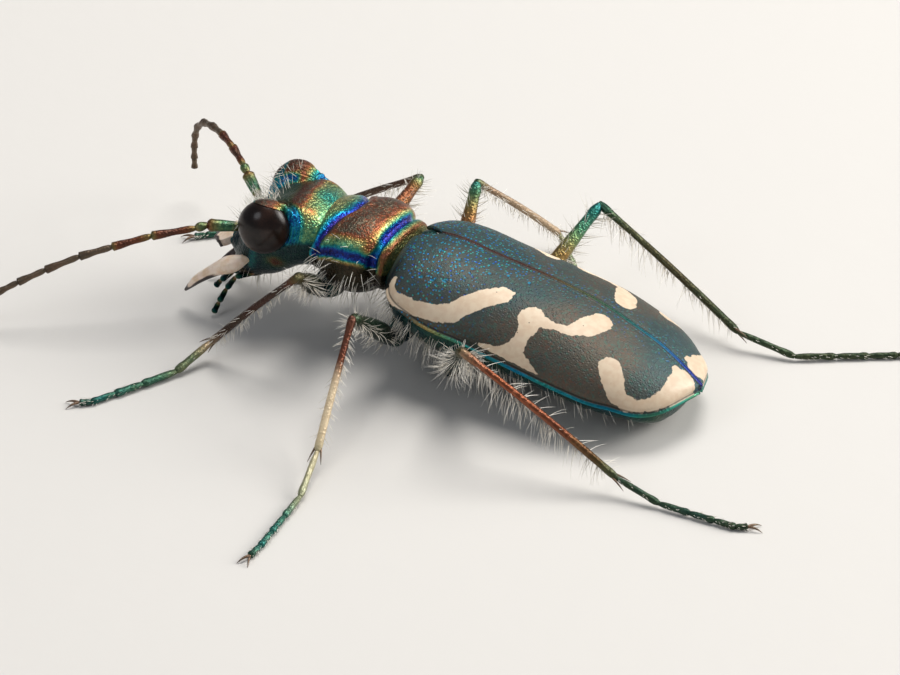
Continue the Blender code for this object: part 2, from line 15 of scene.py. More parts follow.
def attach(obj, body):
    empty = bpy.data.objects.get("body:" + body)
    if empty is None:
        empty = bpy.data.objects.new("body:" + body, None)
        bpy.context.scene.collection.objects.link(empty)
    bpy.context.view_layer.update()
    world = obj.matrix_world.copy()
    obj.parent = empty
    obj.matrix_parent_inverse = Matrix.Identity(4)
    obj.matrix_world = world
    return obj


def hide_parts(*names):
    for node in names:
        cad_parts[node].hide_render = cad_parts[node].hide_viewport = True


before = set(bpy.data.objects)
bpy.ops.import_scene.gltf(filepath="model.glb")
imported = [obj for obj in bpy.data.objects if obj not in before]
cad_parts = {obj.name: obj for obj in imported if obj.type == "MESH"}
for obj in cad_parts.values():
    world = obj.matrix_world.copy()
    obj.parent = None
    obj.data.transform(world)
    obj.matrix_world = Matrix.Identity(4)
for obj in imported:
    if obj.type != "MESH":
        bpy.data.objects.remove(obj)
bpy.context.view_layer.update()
print(len(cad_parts), "solids in the frame")

# %% [markdown]
# The beetle stands nose up and leans a little to its right. Three sets of axes follow from that:
# the floor's, the trunk's, whose origin is on top of the scutellum, and the head's, which starts
# at the neck and turns a little more. Placing a part in the axes it belongs to keeps its numbers
# symmetric, and one matrix then puts it in the pose.

# %% Axes of the floor, the trunk and the head
MM = 0.001


def axes(parent, place, lean=0.0, nose_up=0.0, turn=0.0):
    spin = Euler((math.radians(lean), -math.radians(nose_up), math.radians(turn)))
    return parent @ Matrix.Translation(Vector(place)) @ spin.to_matrix().to_4x4()


FLOOR = Matrix.Translation((0.42, -2.88, 0))
TRUNK = axes(FLOOR, (0, 0, 3.48), 6.9, 8.0, -1.1)
HEAD = axes(TRUNK, (2.65, 0, -1.15), 2.0, 0, 10.4)


def moved(matrix, points):
    """The points carried by a matrix, as rows of an array."""
    turn = np.array(matrix)
    return np.asarray(points, float) @ turn[:3, :3].T + turn[:3, 3]


print("trunk origin, mm:", [round(v, 2) for v in TRUNK.translation])

# %% [markdown]
# The camera looks down on the beetle's left side from in front, as the photograph does. Its long
# lens flattens the perspective, so it stands far off for so small an animal.

# %% The camera
VIEW_TARGET = Vector((-0.934, -1.778, 1.045))
VIEW_BEARING = math.radians(118.8)
VIEW_HEIGHT = math.radians(33.6)
VIEW_DISTANCE = 160.0
VIEW_LENS = 233.6

level = math.cos(VIEW_HEIGHT)
outward = Vector((level * math.cos(VIEW_BEARING), level * math.sin(VIEW_BEARING), math.sin(VIEW_HEIGHT)))
camera = bpy.data.objects.new("camera", bpy.data.cameras.new("camera"))
camera.data.lens = VIEW_LENS
camera.data.sensor_width = 36
camera.data.clip_start = 0.01
camera.location = (VIEW_TARGET + outward * VIEW_DISTANCE) * MM
camera.rotation_euler = outward.to_track_quat("Z", "Y").to_euler()
bpy.context.scene.collection.objects.link(camera)
bpy.context.scene.camera = camera
print("camera at", [round(v, 4) for v in camera.location])

# %% [markdown]
# Nearly every form of an insect changes smoothly along its length, so its measures are given as
# stops: a place and a value. One function draws a smooth curve through them and reads it
# wherever it is needed.

# %% Smooth curves through a few measured stops
def between(stops, at):
    """A smooth curve through the stops, read at many places."""
    places, values = np.array(stops, float).T
    slopes = np.gradient(values, places)
    at = np.clip(at, places[0], places[-1])
    i = np.clip(np.searchsorted(places, at, side="right") - 1, 0, len(places) - 2)
    span = places[i + 1] - places[i]
    t = (at - places[i]) / span
    ends = values[i] * (1 + 2 * t) * (1 - t) ** 2 + values[i + 1] * t * t * (3 - 2 * t)
    return ends + span * t * (1 - t) * (slopes[i] * (1 - t) - slopes[i + 1] * t)


def near(distance, width):
    """A bell curve: 1 on the line, falling to nothing within about two widths."""
    return np.exp(-((np.asarray(distance) / width) ** 2))


def rise(low, high, at):
    """0 below the first value, 1 above the second, and smooth between them."""
    t = np.clip((np.asarray(at, float) - low) / (high - low), 0, 1)
    return t * t * (3 - 2 * t)


# %% [markdown]
# A mesh is shaped by reading all of its points as one array, working out where each belongs and
# writing them back. The same goes for the values that its finish follows, such as how far a
# point is from the edge, which are kept on the points as attributes.

# %% Reading, moving and painting the points of a mesh
def points_of(obj):
    flat = np.empty(len(obj.data.vertices) * 3, np.float32)
    obj.data.vertices.foreach_get("co", flat)
    return flat.reshape(-1, 3).astype(float)


def put_points(obj, points):
    obj.data.vertices.foreach_set("co", np.asarray(points, np.float32).ravel())
    obj.data.update()


def normals_of(obj):
    flat = np.empty(len(obj.data.vertices) * 3, np.float32)
    obj.data.vertices.foreach_get("normal", flat)
    return flat.reshape(-1, 3).astype(float)


def push(obj, amounts):
    """Moves each point along its normal, which raises or sinks the skin there."""
    put_points(obj, points_of(obj) + normals_of(obj) * np.asarray(amounts)[:, None])


def paint(obj, name, values):
    layer = obj.data.attributes.get(name)
    if layer is None:
        layer = obj.data.attributes.new(name, "FLOAT", "POINT")
    values = np.broadcast_to(np.asarray(values, np.float32), len(obj.data.vertices))
    layer.data.foreach_set("value", np.ascontiguousarray(values))


def deselect():
    bpy.ops.object.select_all(action="DESELECT")


def use(obj):
    deselect()
    obj.select_set(True)
    bpy.context.view_layer.objects.active = obj


def joined(objects, name):
    """Several objects made one, under a new name."""
    use(objects[0])
    for obj in objects:
        obj.select_set(True)
    if len(objects) > 1:
        bpy.ops.object.join()
    objects[0].name = name
    objects[0].data.name = name
    return objects[0]


def settle(obj, carrier, finish, nodes=()):
    """Puts a finished piece in the pose, in metres, and gives it its finish and its place in the frame."""
    obj.data.transform(Matrix.Scale(MM, 4) @ carrier)
    obj.data.shade_smooth()
    obj.data.materials.clear()
    obj.data.materials.append(finish)
    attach(obj, "root")
    if nodes:
        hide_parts(*nodes)
    print(obj.name, len(obj.data.polygons), "faces")
    return obj


# %% [markdown]
# A finish is a small program in nodes. To keep it readable, one class wraps a socket, so that
# numbers over the surface are written as sums and products. Every other node comes from its one
# method, which takes the node's settings and the values of its sockets.

# %% Finishes written as expressions
class Flow:
    """A value on its way through a finish's nodes, used like a number."""

    def __init__(self, tree, socket=None):
        self.tree = tree
        self.socket = socket

    def node(self, kind, settings=None, sockets=None, output=0):
        made = self.tree.nodes.new("ShaderNode" + kind)
        for name, value in (settings or {}).items():
            if name == "stops":
                set_stops(made.color_ramp, value)
            else:
                setattr(made, name, value)
        for key, value in (sockets or {}).items():
            if isinstance(value, Flow):
                self.tree.links.new(value.socket, made.inputs[key])
            else:
                made.inputs[key].default_value = value
        return Flow(self.tree, made.outputs[output])

    def math(self, operation, first, second=0.0):
        return self.node("Math", {"operation": operation}, {0: first, 1: second})

    def __add__(self, other):
        return self.math("ADD", self, other)

    def __sub__(self, other):
        return self.math("SUBTRACT", self, other)

    def __rsub__(self, other):
        return self.math("SUBTRACT", other, self)

    def __mul__(self, other):
        return self.math("MULTIPLY", self, other)

    def rises(self, low, high):
        """0 below the first value and 1 above the second, or the reverse if the first is larger."""
        settings = {"interpolation_type": "SMOOTHSTEP"}
        if low < high:
            return self.node("MapRange", settings, {0: self, 1: low, 2: high, 3: 0.0, 4: 1.0})
        return self.node("MapRange", settings, {0: self, 1: high, 2: low, 3: 1.0, 4: 0.0})

    __radd__ = __add__
    __rmul__ = __mul__


def set_stops(ramp, stops):
    while len(ramp.elements) < len(stops):
        ramp.elements.new(0.5)
    for element, (place, colour) in zip(ramp.elements, stops):
        element.position = place
        element.color = (*colour, 1)


class Finish(Flow):
    """A new material and the nodes that lead to its one Principled shader."""

    def __init__(self, name, constants=None):
        self.material = bpy.data.materials.new(name)
        self.material.use_nodes = True
        super().__init__(self.material.node_tree)
        self.shader = self.tree.nodes["Principled BSDF"]
        for key, value in (constants or {}).items():
            self.shader.inputs[key].default_value = value

    def feed(self, key, value):
        if isinstance(value, Flow):
            self.tree.links.new(value.socket, self.shader.inputs[key])
        else:
            self.shader.inputs[key].default_value = value

    def value(self, name):
        """A value painted on the points of the piece."""
        return self.node("Attribute", {"attribute_name": name}, output=2)

    def place(self, carrier=None, stretch=(1, 1, 1)):
        """Object coordinates in millimetres, in the axes of the floor, the trunk or the head."""
        own = self.node("TexCoord", output=3)
        carrier = carrier or Matrix.Identity(4)
        sockets = {
            "Vector": own, "Location": carrier.translation * MM, "Rotation": carrier.to_euler(),
            "Scale": [MM * size for size in stretch],
        }
        return self.node("Mapping", {"vector_type": "TEXTURE"}, sockets)

    def noise(self, place, scale, detail=2.0):
        return self.node("TexNoise", None, {"Vector": place, "Scale": scale, "Detail": detail})

    def cells(self, place, scale, output=0, feature="F1"):
        """Distance from the nearest of many scattered dots, or the dot's own random colour."""
        return self.node("TexVoronoi", {"feature": feature}, {"Vector": place, "Scale": scale}, output)

    def random(self, place, scale):
        """A random number for each cell."""
        return self.node("SeparateColor", None, {0: self.cells(place, scale, 1)})

    def mix(self, first, second, mask):
        first, second = [(*c, 1) if isinstance(c, tuple) else c for c in (first, second)]
        return self.node("Mix", {"data_type": "RGBA"}, {0: mask, 6: first, 7: second}, 2)

    def tint(self, colour, amount):
        """The colour made lighter or darker by a number."""
        return self.node("VectorMath", {"operation": "SCALE"}, {0: colour, "Scale": amount})

    def bump(self, height, depth, after=None):
        sockets = {"Height": height, "Distance": depth * MM, "Strength": 1.0}
        if after:
            sockets["Normal"] = after
        return self.node("Bump", None, sockets)

    def shine(self, tone):
        """The colours of thin layers in the order in which they follow each other on the beetle."""
        return self.node("ValToRGB", {"stops": SHINE}, {0: tone})


# Violet, blue, teal, green, gold, copper, red and bronze
SHINE = (
    (0.0, (0.05, 0.03, 0.2)), (0.1, (0.015, 0.06, 0.42)), (0.22, (0.01, 0.25, 0.44)),
    (0.34, (0.03, 0.32, 0.27)), (0.46, (0.15, 0.34, 0.16)), (0.56, (0.36, 0.36, 0.14)),
    (0.65, (0.4, 0.24, 0.08)), (0.75, (0.34, 0.11, 0.05)), (0.85, (0.22, 0.075, 0.045)),
    (0.93, (0.15, 0.1, 0.062)), (1.0, (0.12, 0.098, 0.07)),
)
print("finishes are written in nodes,", len(SHINE), "colours of shine")

# %% [markdown]
# ## Wing cases
# The two wing cases are stiff, domed shells that meet along the back. Each could be cut from an
# ellipsoid, but their outline, which is widest two thirds back and then rounds off to the tip,
# would be lost. So a fine flat grid is laid over the dome: its rows run across from the seam to
# the margin, at the half width, height and depth measured along the body.

# %% Measures of the wing cases
CASE_LENGTH = 8.87
CASE_ROUNDNESS = 2.22
CASE_WIDTHS = (
    (0, 1.87), (0.03, 2.12), (0.12, 2.34), (0.3, 2.38), (0.5, 2.42), (0.65, 2.46), (0.8, 2.25),
    (0.9, 1.78), (0.96, 1.2), (1, 0.33),
)
CASE_SEAM = (
    (0, 0.05), (0.1, 0.25), (0.25, 0.27), (0.5, 0.27), (0.62, 0.19), (0.75, -0.05), (0.85, -0.28),
    (0.93, -0.58), (1, -0.9),
)
CASE_DEPTHS = (
    (0, 1.18), (0.1, 1.55), (0.3, 1.66), (0.6, 1.63), (0.8, 1.29), (0.92, 0.95), (1, 0.25),
)
CASE_WALL = 0.14
SEAM_GAP = 0.012
NOTCH, NOTCH_LENGTH = 0.42, 0.8
CASE_ROWS, CASE_COLUMNS = 280, 96
CASE_START = -0.022


def case_profile(share):
    """Half width, top and height of the dome, with the tip rounded off."""
    tip = np.sqrt(1 - np.clip((share - 0.955) / 0.0452, 0, 1) ** 2)
    front = 1 - np.clip((share - CASE_START) / 0.045, 0, 1)
    return (
        between(CASE_WIDTHS, share) * (0.1 + 0.9 * tip) * (1 - 0.2 * front**2),
        between(CASE_SEAM, share) - 0.16 * front**3,
        between(CASE_DEPTHS, share),
    )


def case_points(share, across):
    """Points of the left wing case, with their distance over the dome from the seam and the margin."""
    half, top, height = case_profile(share)
    start = np.maximum(SEAM_GAP, NOTCH * (1 - (share * CASE_LENGTH + 0.2) / NOTCH_LENGTH))
    start = np.minimum(start, 0.9 * half)
    y = start + (half - start) * np.sin(math.pi / 2 * across)
    bend = np.arcsin(np.clip(y / half, 0, 1))[:, None] * np.linspace(0, 1, 49)
    whole = (math.pi / 2) * np.linspace(0, 1, 49)[None, :]

    def length(turn):
        side = half[:, None] * np.sin(turn)
        up = height[:, None] * (1 - np.sin(turn) ** CASE_ROUNDNESS) ** (1 / CASE_ROUNDNESS)
        return np.hypot(np.diff(side), np.diff(up)).sum(1)

    z = top - height + height * (1 - np.clip(y / half, 0, 1) ** CASE_ROUNDNESS) ** (1 / CASE_ROUNDNESS)
    over = length(bend)
    return np.column_stack([-share * CASE_LENGTH, y, z]), over, length(whole + 0 * bend) - over


# %% [markdown]
# The cream marks are the beetle's signature: a curve behind the shoulder, a bent band in the
# middle and a hook at the tip. They are drawn as brush strokes, each a few points with a half
# width, at so many millimetres from the base and so many over the dome from the seam. Each point
# of the shell keeps its distance from the nearest stroke, so the finish can cut a crisp,
# slightly ragged edge at any size.

# %% Strokes of the cream marks: along the body, over the dome from the seam, half width
MARKS = (
    (
        (0.2, 2.14, 0.09), (0.14, 2.42, 0.16), (0.42, 2.72, 0.2), (1.14, 2.84, 0.22), (1.77, 2.72, 0.23),
        (2.21, 2.5, 0.26), (2.51, 2.1, 0.28), (2.88, 1.73, 0.28), (3.22, 1.44, 0.26), (3.4, 1.3, 0.08),
    ),
    ((3.26, 3.01, 0.06), (3.73, 2.98, 0.11), (4.19, 2.84, 0.27), (4.68, 2.97, 0.15), (5.09, 3.08, 0.03)),
    (
        (4.27, 2.67, 0.25), (4.3, 2.32, 0.19), (4.34, 2.04, 0.26), (4.3, 1.76, 0.38), (4.58, 1.7, 0.19),
        (4.99, 1.66, 0.1), (5.42, 1.54, 0.16), (5.7, 1.16, 0.32), (5.9, 0.71, 0.31), (5.99, 0.59, 0.11),
    ),
    (
        (6.86, 1.84, 0.33), (7.06, 2.05, 0.33), (7.26, 2.28, 0.28), (7.54, 2.32, 0.23), (7.88, 2.1, 0.14),
        (8.18, 1.73, 0.13), (8.4, 1.2, 0.2), (8.48, 0.74, 0.33), (8.48, 0.42, 0.33), (8.2, 0.36, 0.14),
    ),
)
DIMPLES = (
    (0.56, 0.79), (0.9, 0.86), (1.19, 0.88), (1.54, 0.94), (2.02, 1.04), (2.5, 0.94), (2.97, 0.73),
    (3.58, 0.65), (0.93, 1.93), (1.27, 1.91), (1.55, 1.79),
)
DIMPLE_RADIUS, DIMPLE_DEPTH = 0.055, 0.022


def stroke_distance(along, over):
    """How far each point is outside the nearest stroke, less than nothing inside it."""
    found = np.full(len(along), 9.0)
    here = np.column_stack([along, over])
    for stroke in MARKS:
        for first, second in zip(stroke, stroke[1:]):
            start, step = np.array(first[:2]), np.subtract(second[:2], first[:2])
            t = np.clip((here - start) @ step / (step @ step), 0, 1)
            width = first[2] + (second[2] - first[2]) * t
            found = np.minimum(found, np.linalg.norm(here - start - t[:, None] * step, axis=1) - width)
    return found


def make_case(side):
    deselect()
    bpy.ops.mesh.primitive_grid_add(x_subdivisions=CASE_ROWS, y_subdivisions=CASE_COLUMNS, size=2)
    case = bpy.context.object
    flat = (points_of(case)[:, :2] + 1) / 2
    share = 1.4 * (1 - flat[:, 0]) - 0.4 * (1 - flat[:, 0]) ** 2
    share = CASE_START + (1 - CASE_START) * share
    points, over, margin = case_points(share, flat[:, 1])
    put_points(case, points)
    along = share * CASE_LENGTH
    dimples = sum(near(np.hypot(along - a, over - b), DIMPLE_RADIUS) for a, b in DIMPLES)
    seam = points[:, 1] - points[:, 1].min()
    relief = 0.035 * near(margin, 0.06) - 0.03 * near(margin - 0.15, 0.06) - DIMPLE_DEPTH * dimples
    relief += 0.02 * near(seam, 0.05) - 0.015 * near(seam - 0.12, 0.05)
    push(case, relief)
    paint(case, "mark", stroke_distance(along, over))
    paint(case, "dimple", dimples)
    paint(case, "margin", margin)
    paint(case, "seam", seam)
    paint(case, "over", over)
    if side == "right":
        put_points(case, points_of(case) * (1, -1, 1))
        case.data.flip_normals()
    wall = case.modifiers.new("wall", "SOLIDIFY")
    wall.thickness = CASE_WALL
    wall.offset = -1
    use(case)
    bpy.ops.object.modifier_apply(modifier="wall")
    case.name = "wing_case_" + side
    return case


# %% [markdown]
# The wing cases are dull slate from afar. Close up, their ground is finely beaded and full of
# pits that shine violet, blue, teal or green, closest together in front and along the seam, and
# browner, with red sparks, in the middle. The margin is a narrow line of green, gold and blue. So
# the finish is layers: ground, pits, beads, seam, margin, and the cream marks over all of them.

# %% Finish of the wing cases
def wing_case_finish():
    f = Finish("wing_case_finish", {"Specular IOR Level": 0.45})
    here = f.place(TRUNK)
    parts = f.node("SeparateXYZ", None, {0: here})
    back = parts * -1.0
    over, seam, margin = f.value("over"), f.value("seam"), f.value("margin")
    cloud = f.noise(here, 0.7, 3.0)
    brown = cloud + over * 0.14 + back.rises(2.0, 6.0) * 0.22 - back.rises(6.2, 8.4) * 0.3 - 0.12
    brown = brown.rises(0.4, 0.9)
    ground = f.mix((0.034, 0.06, 0.062), (0.085, 0.074, 0.056), brown)
    grain = f.noise(here, 16.0, 3.0)
    ground = f.tint(ground, 0.72 + grain * 0.56)
    sparks = f.random(here, 15.0)
    ground = f.mix(ground, (0.14, 0.055, 0.035), sparks.rises(0.86, 0.9) * brown * 0.4)
    ground = f.mix(ground, (0.035, 0.13, 0.1), sparks.rises(0.16, 0.12) * 0.35)
    pit_random = f.random(here, 9.6)
    pit_place = f.cells(here, 9.6)
    fore = back.rises(4.6, 0.8)
    inner = seam.rises(1.3, 0.1)
    showing = (fore * 0.8 + inner * 0.5).rises(0.05, 0.95)
    pit = pit_place.rises(0.38, 0.2) * (0.3 + showing * 0.7)
    pit_colour = f.shine(pit_random * 0.26 + 0.1)
    ground = f.mix(ground, f.tint(pit_colour, 1.0), pit * (0.12 + showing * 0.88))
    ground = f.mix(ground, (0.008, 0.01, 0.012), pit_place.rises(0.14, 0.05) * 0.55)
    ground = f.mix(ground, (0.0, 0.2, 0.34), f.value("dimple").rises(0.25, 0.8) * 0.85)
    # Painted shade: the front of the case, low on its side, is painted almost black.
    ground = f.mix(ground, (0.006, 0.008, 0.008), back.rises(0.3, 0.0) * over.rises(1.0, 1.8) * 0.85)
    jag = f.noise(here, 8.0, 2.0) - 0.5
    cream = (f.value("mark") + jag * 0.12).rises(0.013, -0.013)
    cream_cloud = f.noise(here, 5.0, 2.0).rises(0.35, 0.65)
    cream_colour = f.mix((0.71, 0.54, 0.38), (0.77, 0.62, 0.45), cream_cloud)
    cream_colour = f.tint(cream_colour, 1.0 - back.rises(3.0, 7.5) * 0.24)
    specks = f.cells(here, 2.6).rises(0.06, 0.03)
    cream_colour = f.mix(cream_colour, (0.1, 0.07, 0.05), specks)
    seam_red = back.rises(5.6, 2.5)
    seam_colour = f.tint(f.shine(back * -0.12 + 1.1), 0.22 + back.rises(5.6, 8.6) * 0.34)
    seam_colour = f.mix(seam_colour, (0.05, 0.02, 0.015), seam_red)
    body = f.mix(ground, cream_colour, cream)
    body = f.mix(body, (0.01, 0.012, 0.012), seam.rises(0.1, 0.07) * 0.7)
    body = f.mix(body, seam_colour, seam.rises(0.055, 0.035))
    rim_tone = f.node("TexNoise", None, {"Vector": here, "Scale": 0.8, "Detail": 1.0}) * 0.3 + 0.13
    rim_tone = rim_tone + back.rises(3.4, 1.2) * 0.32 + back.rises(7.4, 8.8) * 0.1
    rim = margin.rises(0.1, 0.06) * back.rises(0.9, 1.6)
    edge = back.rises(0.02, -0.08)
    edge_colour = f.mix((0.05, 0.075, 0.06), (0.008, 0.011, 0.01), over.rises(1.5, 2.1))
    body = f.mix(f.mix(body, edge_colour, edge), f.tint(f.shine(rim_tone), 0.62), rim)
    body = f.mix(body, (0.004, 0.006, 0.006), margin.rises(0.16, 0.12) * margin.rises(0.08, 0.11) * 0.7)
    f.feed("Base Color", body)
    pale = cream * (1 - rim)
    f.feed("Metallic", (1 - pale) * (0.5 + rim * 0.4) + pit * 0.1)
    f.feed("Roughness", 0.5 - rim * 0.2 - pit * 0.1 + grain * 0.06 - pale * 0.08)
    smooth = cream + edge
    beads = f.bump(f.cells(here, 17.0).rises(0.6, 0.1) * (1 - smooth), 0.005)
    pits = f.bump(f.mix(pit_place.rises(0.12, 0.42), (1.0, 1.0, 1.0), cream), 0.0065, beads)
    f.feed("Normal", pits)
    return f.material


case_finish = wing_case_finish()
for side in ("left", "right"):
    settle(make_case(side), TRUNK, case_finish, ["elytron_" + side])

# %% [markdown]
# ## Forebody
# The pronotum is a barrel with two deep grooves across it. It grows from a dense ball whose poles
# lie fore and aft: each of its rings becomes an egg-shaped section with the width, top and bottom
# measured there. The ball is closed from the start, so no cap has to be fitted.

# %% A closed body through egg-shaped sections
BODY_ROUNDNESS = 2.3


def body_form(name, sections, columns, rows, closing=0.94, roundness=BODY_ROUNDNESS):
    """Sections are place along, half width, top, widest level and bottom."""
    deselect()
    bpy.ops.mesh.primitive_uv_sphere_add(segments=columns, ring_count=rows, radius=1)
    body = bpy.context.object
    ball = points_of(body)
    along = np.arcsin(np.clip(ball[:, 2], -1, 1)) / (math.pi / 2)
    turn = np.arctan2(ball[:, 1], ball[:, 0])
    places = [section[0] for section in sections]
    x = places[0] + (places[-1] - places[0]) * (along + 1) / 2
    shrink = np.sqrt(1 - np.clip((np.abs(along) - closing) / (1 - closing), 0, 1) ** 2)
    half, top, widest, bottom = [
        between([(section[0], section[i]) for section in sections], x) for i in (1, 2, 3, 4)
    ]
    across = np.sign(np.cos(turn)) * np.abs(np.cos(turn)) ** (2 / roundness)
    up = np.sign(np.sin(turn)) * np.abs(np.sin(turn)) ** (2 / roundness)
    reach = np.where(up > 0, top - widest, widest - bottom)
    put_points(body, np.column_stack([x, half * across * shrink, widest + reach * up * shrink]))
    body.name = name
    return body


# %% [markdown]
# On the real animal the colours of the forebody come from thin layers in the cuticle: where the
# surface dips into a groove they run through copper, gold, green and blue to violet, always in
# that order. One painted value, the tone, therefore stands for the whole play of colour. It
# follows the distance from the grooves, and one ramp turns it into colour.

# %% Pronotum
PRONOTUM_SECTIONS = (
    (0.26, 0.9, -0.56, -0.95, -1.7), (0.4, 1.14, -0.38, -0.95, -1.85), (0.52, 1.27, -0.2, -0.97, -1.95),
    (0.64, 1.28, -0.13, -0.98, -2.0), (0.78, 1.22, -0.15, -1.0, -2.08), (0.98, 1.46, 0.01, -1.05, -2.2),
    (1.3, 1.63, 0.06, -1.1, -2.35), (1.7, 1.67, 0.03, -1.15, -2.4), (2.0, 1.6, -0.06, -1.15, -2.35),
    (2.2, 1.52, -0.15, -1.15, -2.25), (2.4, 1.5, -0.21, -1.15, -2.15), (2.6, 1.48, -0.29, -1.15, -2.05),
    (2.76, 1.38, -0.4, -1.15, -1.9),
)
FRONT_GROOVE = (
    (0, 2.1), (0.3, 2.09), (0.45, 2.12), (0.61, 2.22), (0.88, 2.32), (1.24, 2.39), (1.38, 2.45),
    (1.6, 2.5),
)
FLANK_LINE = (
    (0.6, -0.86), (0.87, -0.8), (1.03, -0.73), (1.4, -0.74), (1.75, -0.8), (1.9, -0.84), (2.3, -1.04),
    (2.6, -1.12),
)

# Tone against the distance from the front groove, the rear groove and the line along the flank
FRONT_TONES = (
    (-1.2, 0.98), (-0.6, 0.95), (-0.3, 0.88), (-0.15, 0.82), (-0.08, 0.76), (-0.05, 0.3), (-0.02, 0.02),
    (0.04, 0.05), (0.1, 0.14), (0.16, 0.24), (0.24, 0.36), (0.33, 0.46), (0.48, 0.52), (0.8, 0.54),
)
REAR_TONES = (
    (-0.5, 0.62), (-0.34, 0.58), (-0.28, 0.74), (-0.21, 0.5), (-0.14, 0.3), (-0.08, 0.16), (0.0, 0.04),
    (0.06, 0.06), (0.1, 0.2), (0.14, 0.42), (0.2, 0.58), (0.3, 0.76), (0.5, 0.88), (0.8, 0.97),
    (1.2, 0.98),
)
FLANK_TONES = (
    (-0.26, 0.64), (-0.2, 0.5), (-0.15, 0.2), (-0.08, 0.07), (0.02, 0.06), (0.08, 0.13), (0.13, 0.27),
    (0.19, 0.4), (0.32, 0.5), (0.42, 0.66), (0.54, 0.98),
)


def front_groove(y):
    return between(FRONT_GROOVE, np.abs(y))


def rear_groove(y):
    return 0.77 + 0.03 * y * y


def make_pronotum():
    body = body_form("pronotum", PRONOTUM_SECTIONS, 176, 132, 0.95)
    points = points_of(body)
    x, y, z = points.T
    roof = rise(-1.3, -0.7, z)
    x = x + rise(1.9, 2.75, x) * (0.2 - 0.17 * y * y) * roof
    put_points(body, np.column_stack([x, y, z]))
    line = between(FLANK_LINE, x)
    flank = near(z - line, 0.12) * rise(0.7, 0.95, x) * rise(2.75, 2.5, x)
    flank = flank * rise(0.9, 1.2, np.abs(y))
    fore, rear = x - front_groove(y), x - rear_groove(y)
    relief = -0.085 * near(fore, 0.09) - 0.1 * near(rear, 0.08) - 0.05 * flank
    relief += 0.03 * near(fore + 0.2, 0.1) + 0.03 * near(x - 0.5, 0.07)
    relief += 0.012 * near(x - 2.86 + 0.17 * y * y, 0.05)
    relief -= 0.035 * near(y, 0.035) * rise(0.9, 1.1, x) * rise(2.1, 1.9, x) * roof
    relief += 0.05 * near(np.abs(y) - 0.75, 0.45) * near(x - 1.45, 0.5) * roof
    push(body, relief)
    tone = np.minimum(between(FRONT_TONES, fore), between(REAR_TONES, rear))
    beside = rise(0.7, 1.2, np.abs(y)) * rise(0.7, 0.95, x) * rise(2.75, 2.5, x)
    tone = np.minimum(tone, 0.98 + (between(FLANK_TONES, z - line) - 0.98) * beside)
    tone = np.where(x < 0.62, between(REAR_TONES, rear), tone)
    red = near(x - 0.98, 0.16) * near(z + 0.42, 0.2) * rise(0.7, 1.0, np.abs(y))
    red = np.maximum(red, near(x - 0.6, 0.12) * near(z + 0.6, 0.2) * rise(0.7, 1.0, np.abs(y)))
    tone = tone * (1 - red) + 0.77 * red
    # Below the flank line the side is painted almost black as painted shade, over a tone of its own. The
    # shade value adds painted shade along the flank line, at the rear edge and low on the bronze parts.
    under = rise(line - 0.22, line - 0.32, z)
    paint(body, "tone", tone * (1 - under) + 0.62 * under)
    shade = 0.5 * near(z - line + 0.03, 0.14) * beside
    shade += 0.35 * rise(0.72, 0.6, x) + 0.22 * rise(0.6, 0.9, tone) * rise(-0.1, -0.4, z)
    paint(body, "dark", np.clip(0.93 * under + shade, 0, 0.95))
    paint(body, "grain", rise(0.62, 0.9, tone))
    return body


def forebody_finish(name, carrier):
    """Metallic cuticle: the painted tone, made to sparkle by beads that each tilt a little."""
    f = Finish(name, {"Specular IOR Level": 0.5})
    here = f.place(carrier)
    tone, dark, grain = f.value("tone"), f.value("dark"), f.value("grain")
    bead = f.random(here, 17.0)
    drift = f.noise(here, 1.9, 3.0) - 0.5
    fine = f.noise(here, 11.0, 2.0) - 0.5
    shift = (bead - 0.5) * (0.07 + grain * 0.16) + drift * (0.12 + grain * 0.12) + fine * 0.08
    colour = f.shine(tone + shift)
    bright = 0.62 + bead * 0.5 + fine * 0.7
    # The painted dark value darkens the colour: the cuticle's own dark parts together with the painted shade
    # on the flanks and the underside.
    colour = f.tint(colour, bright * (1 - dark) + 0.02)
    f.feed("Base Color", colour)
    f.feed("Metallic", 0.93 - dark * 0.4)
    f.feed("Roughness", 0.3 + grain * 0.12 + fine * 0.1)
    beads = f.bump(f.cells(here, 17.0).rises(0.65, 0.1), 0.012)
    wrinkled = f.place(carrier, (0.35, 1, 1))
    wrinkles = f.bump(f.noise(wrinkled, 4.0, 3.0), 0.03, beads)
    f.feed("Normal", wrinkles)
    return f.material


pronotum_finish = forebody_finish("pronotum_finish", TRUNK)
pronotum = make_pronotum()

# %% [markdown]
# ## Head
# The head is broad, with a flat brow between two huge eyes, and slopes down in front to the
# shield above the lip. It is the same kind of form as the pronotum, in its own axes, and it runs
# back as a neck into the pronotum's collar, so that no gap shows when it is seen from the side.
# Fine ridges run round the back of each eye, and finer ones fore and aft between the eyes. The
# edge of the brow overhangs each eye like a lid.

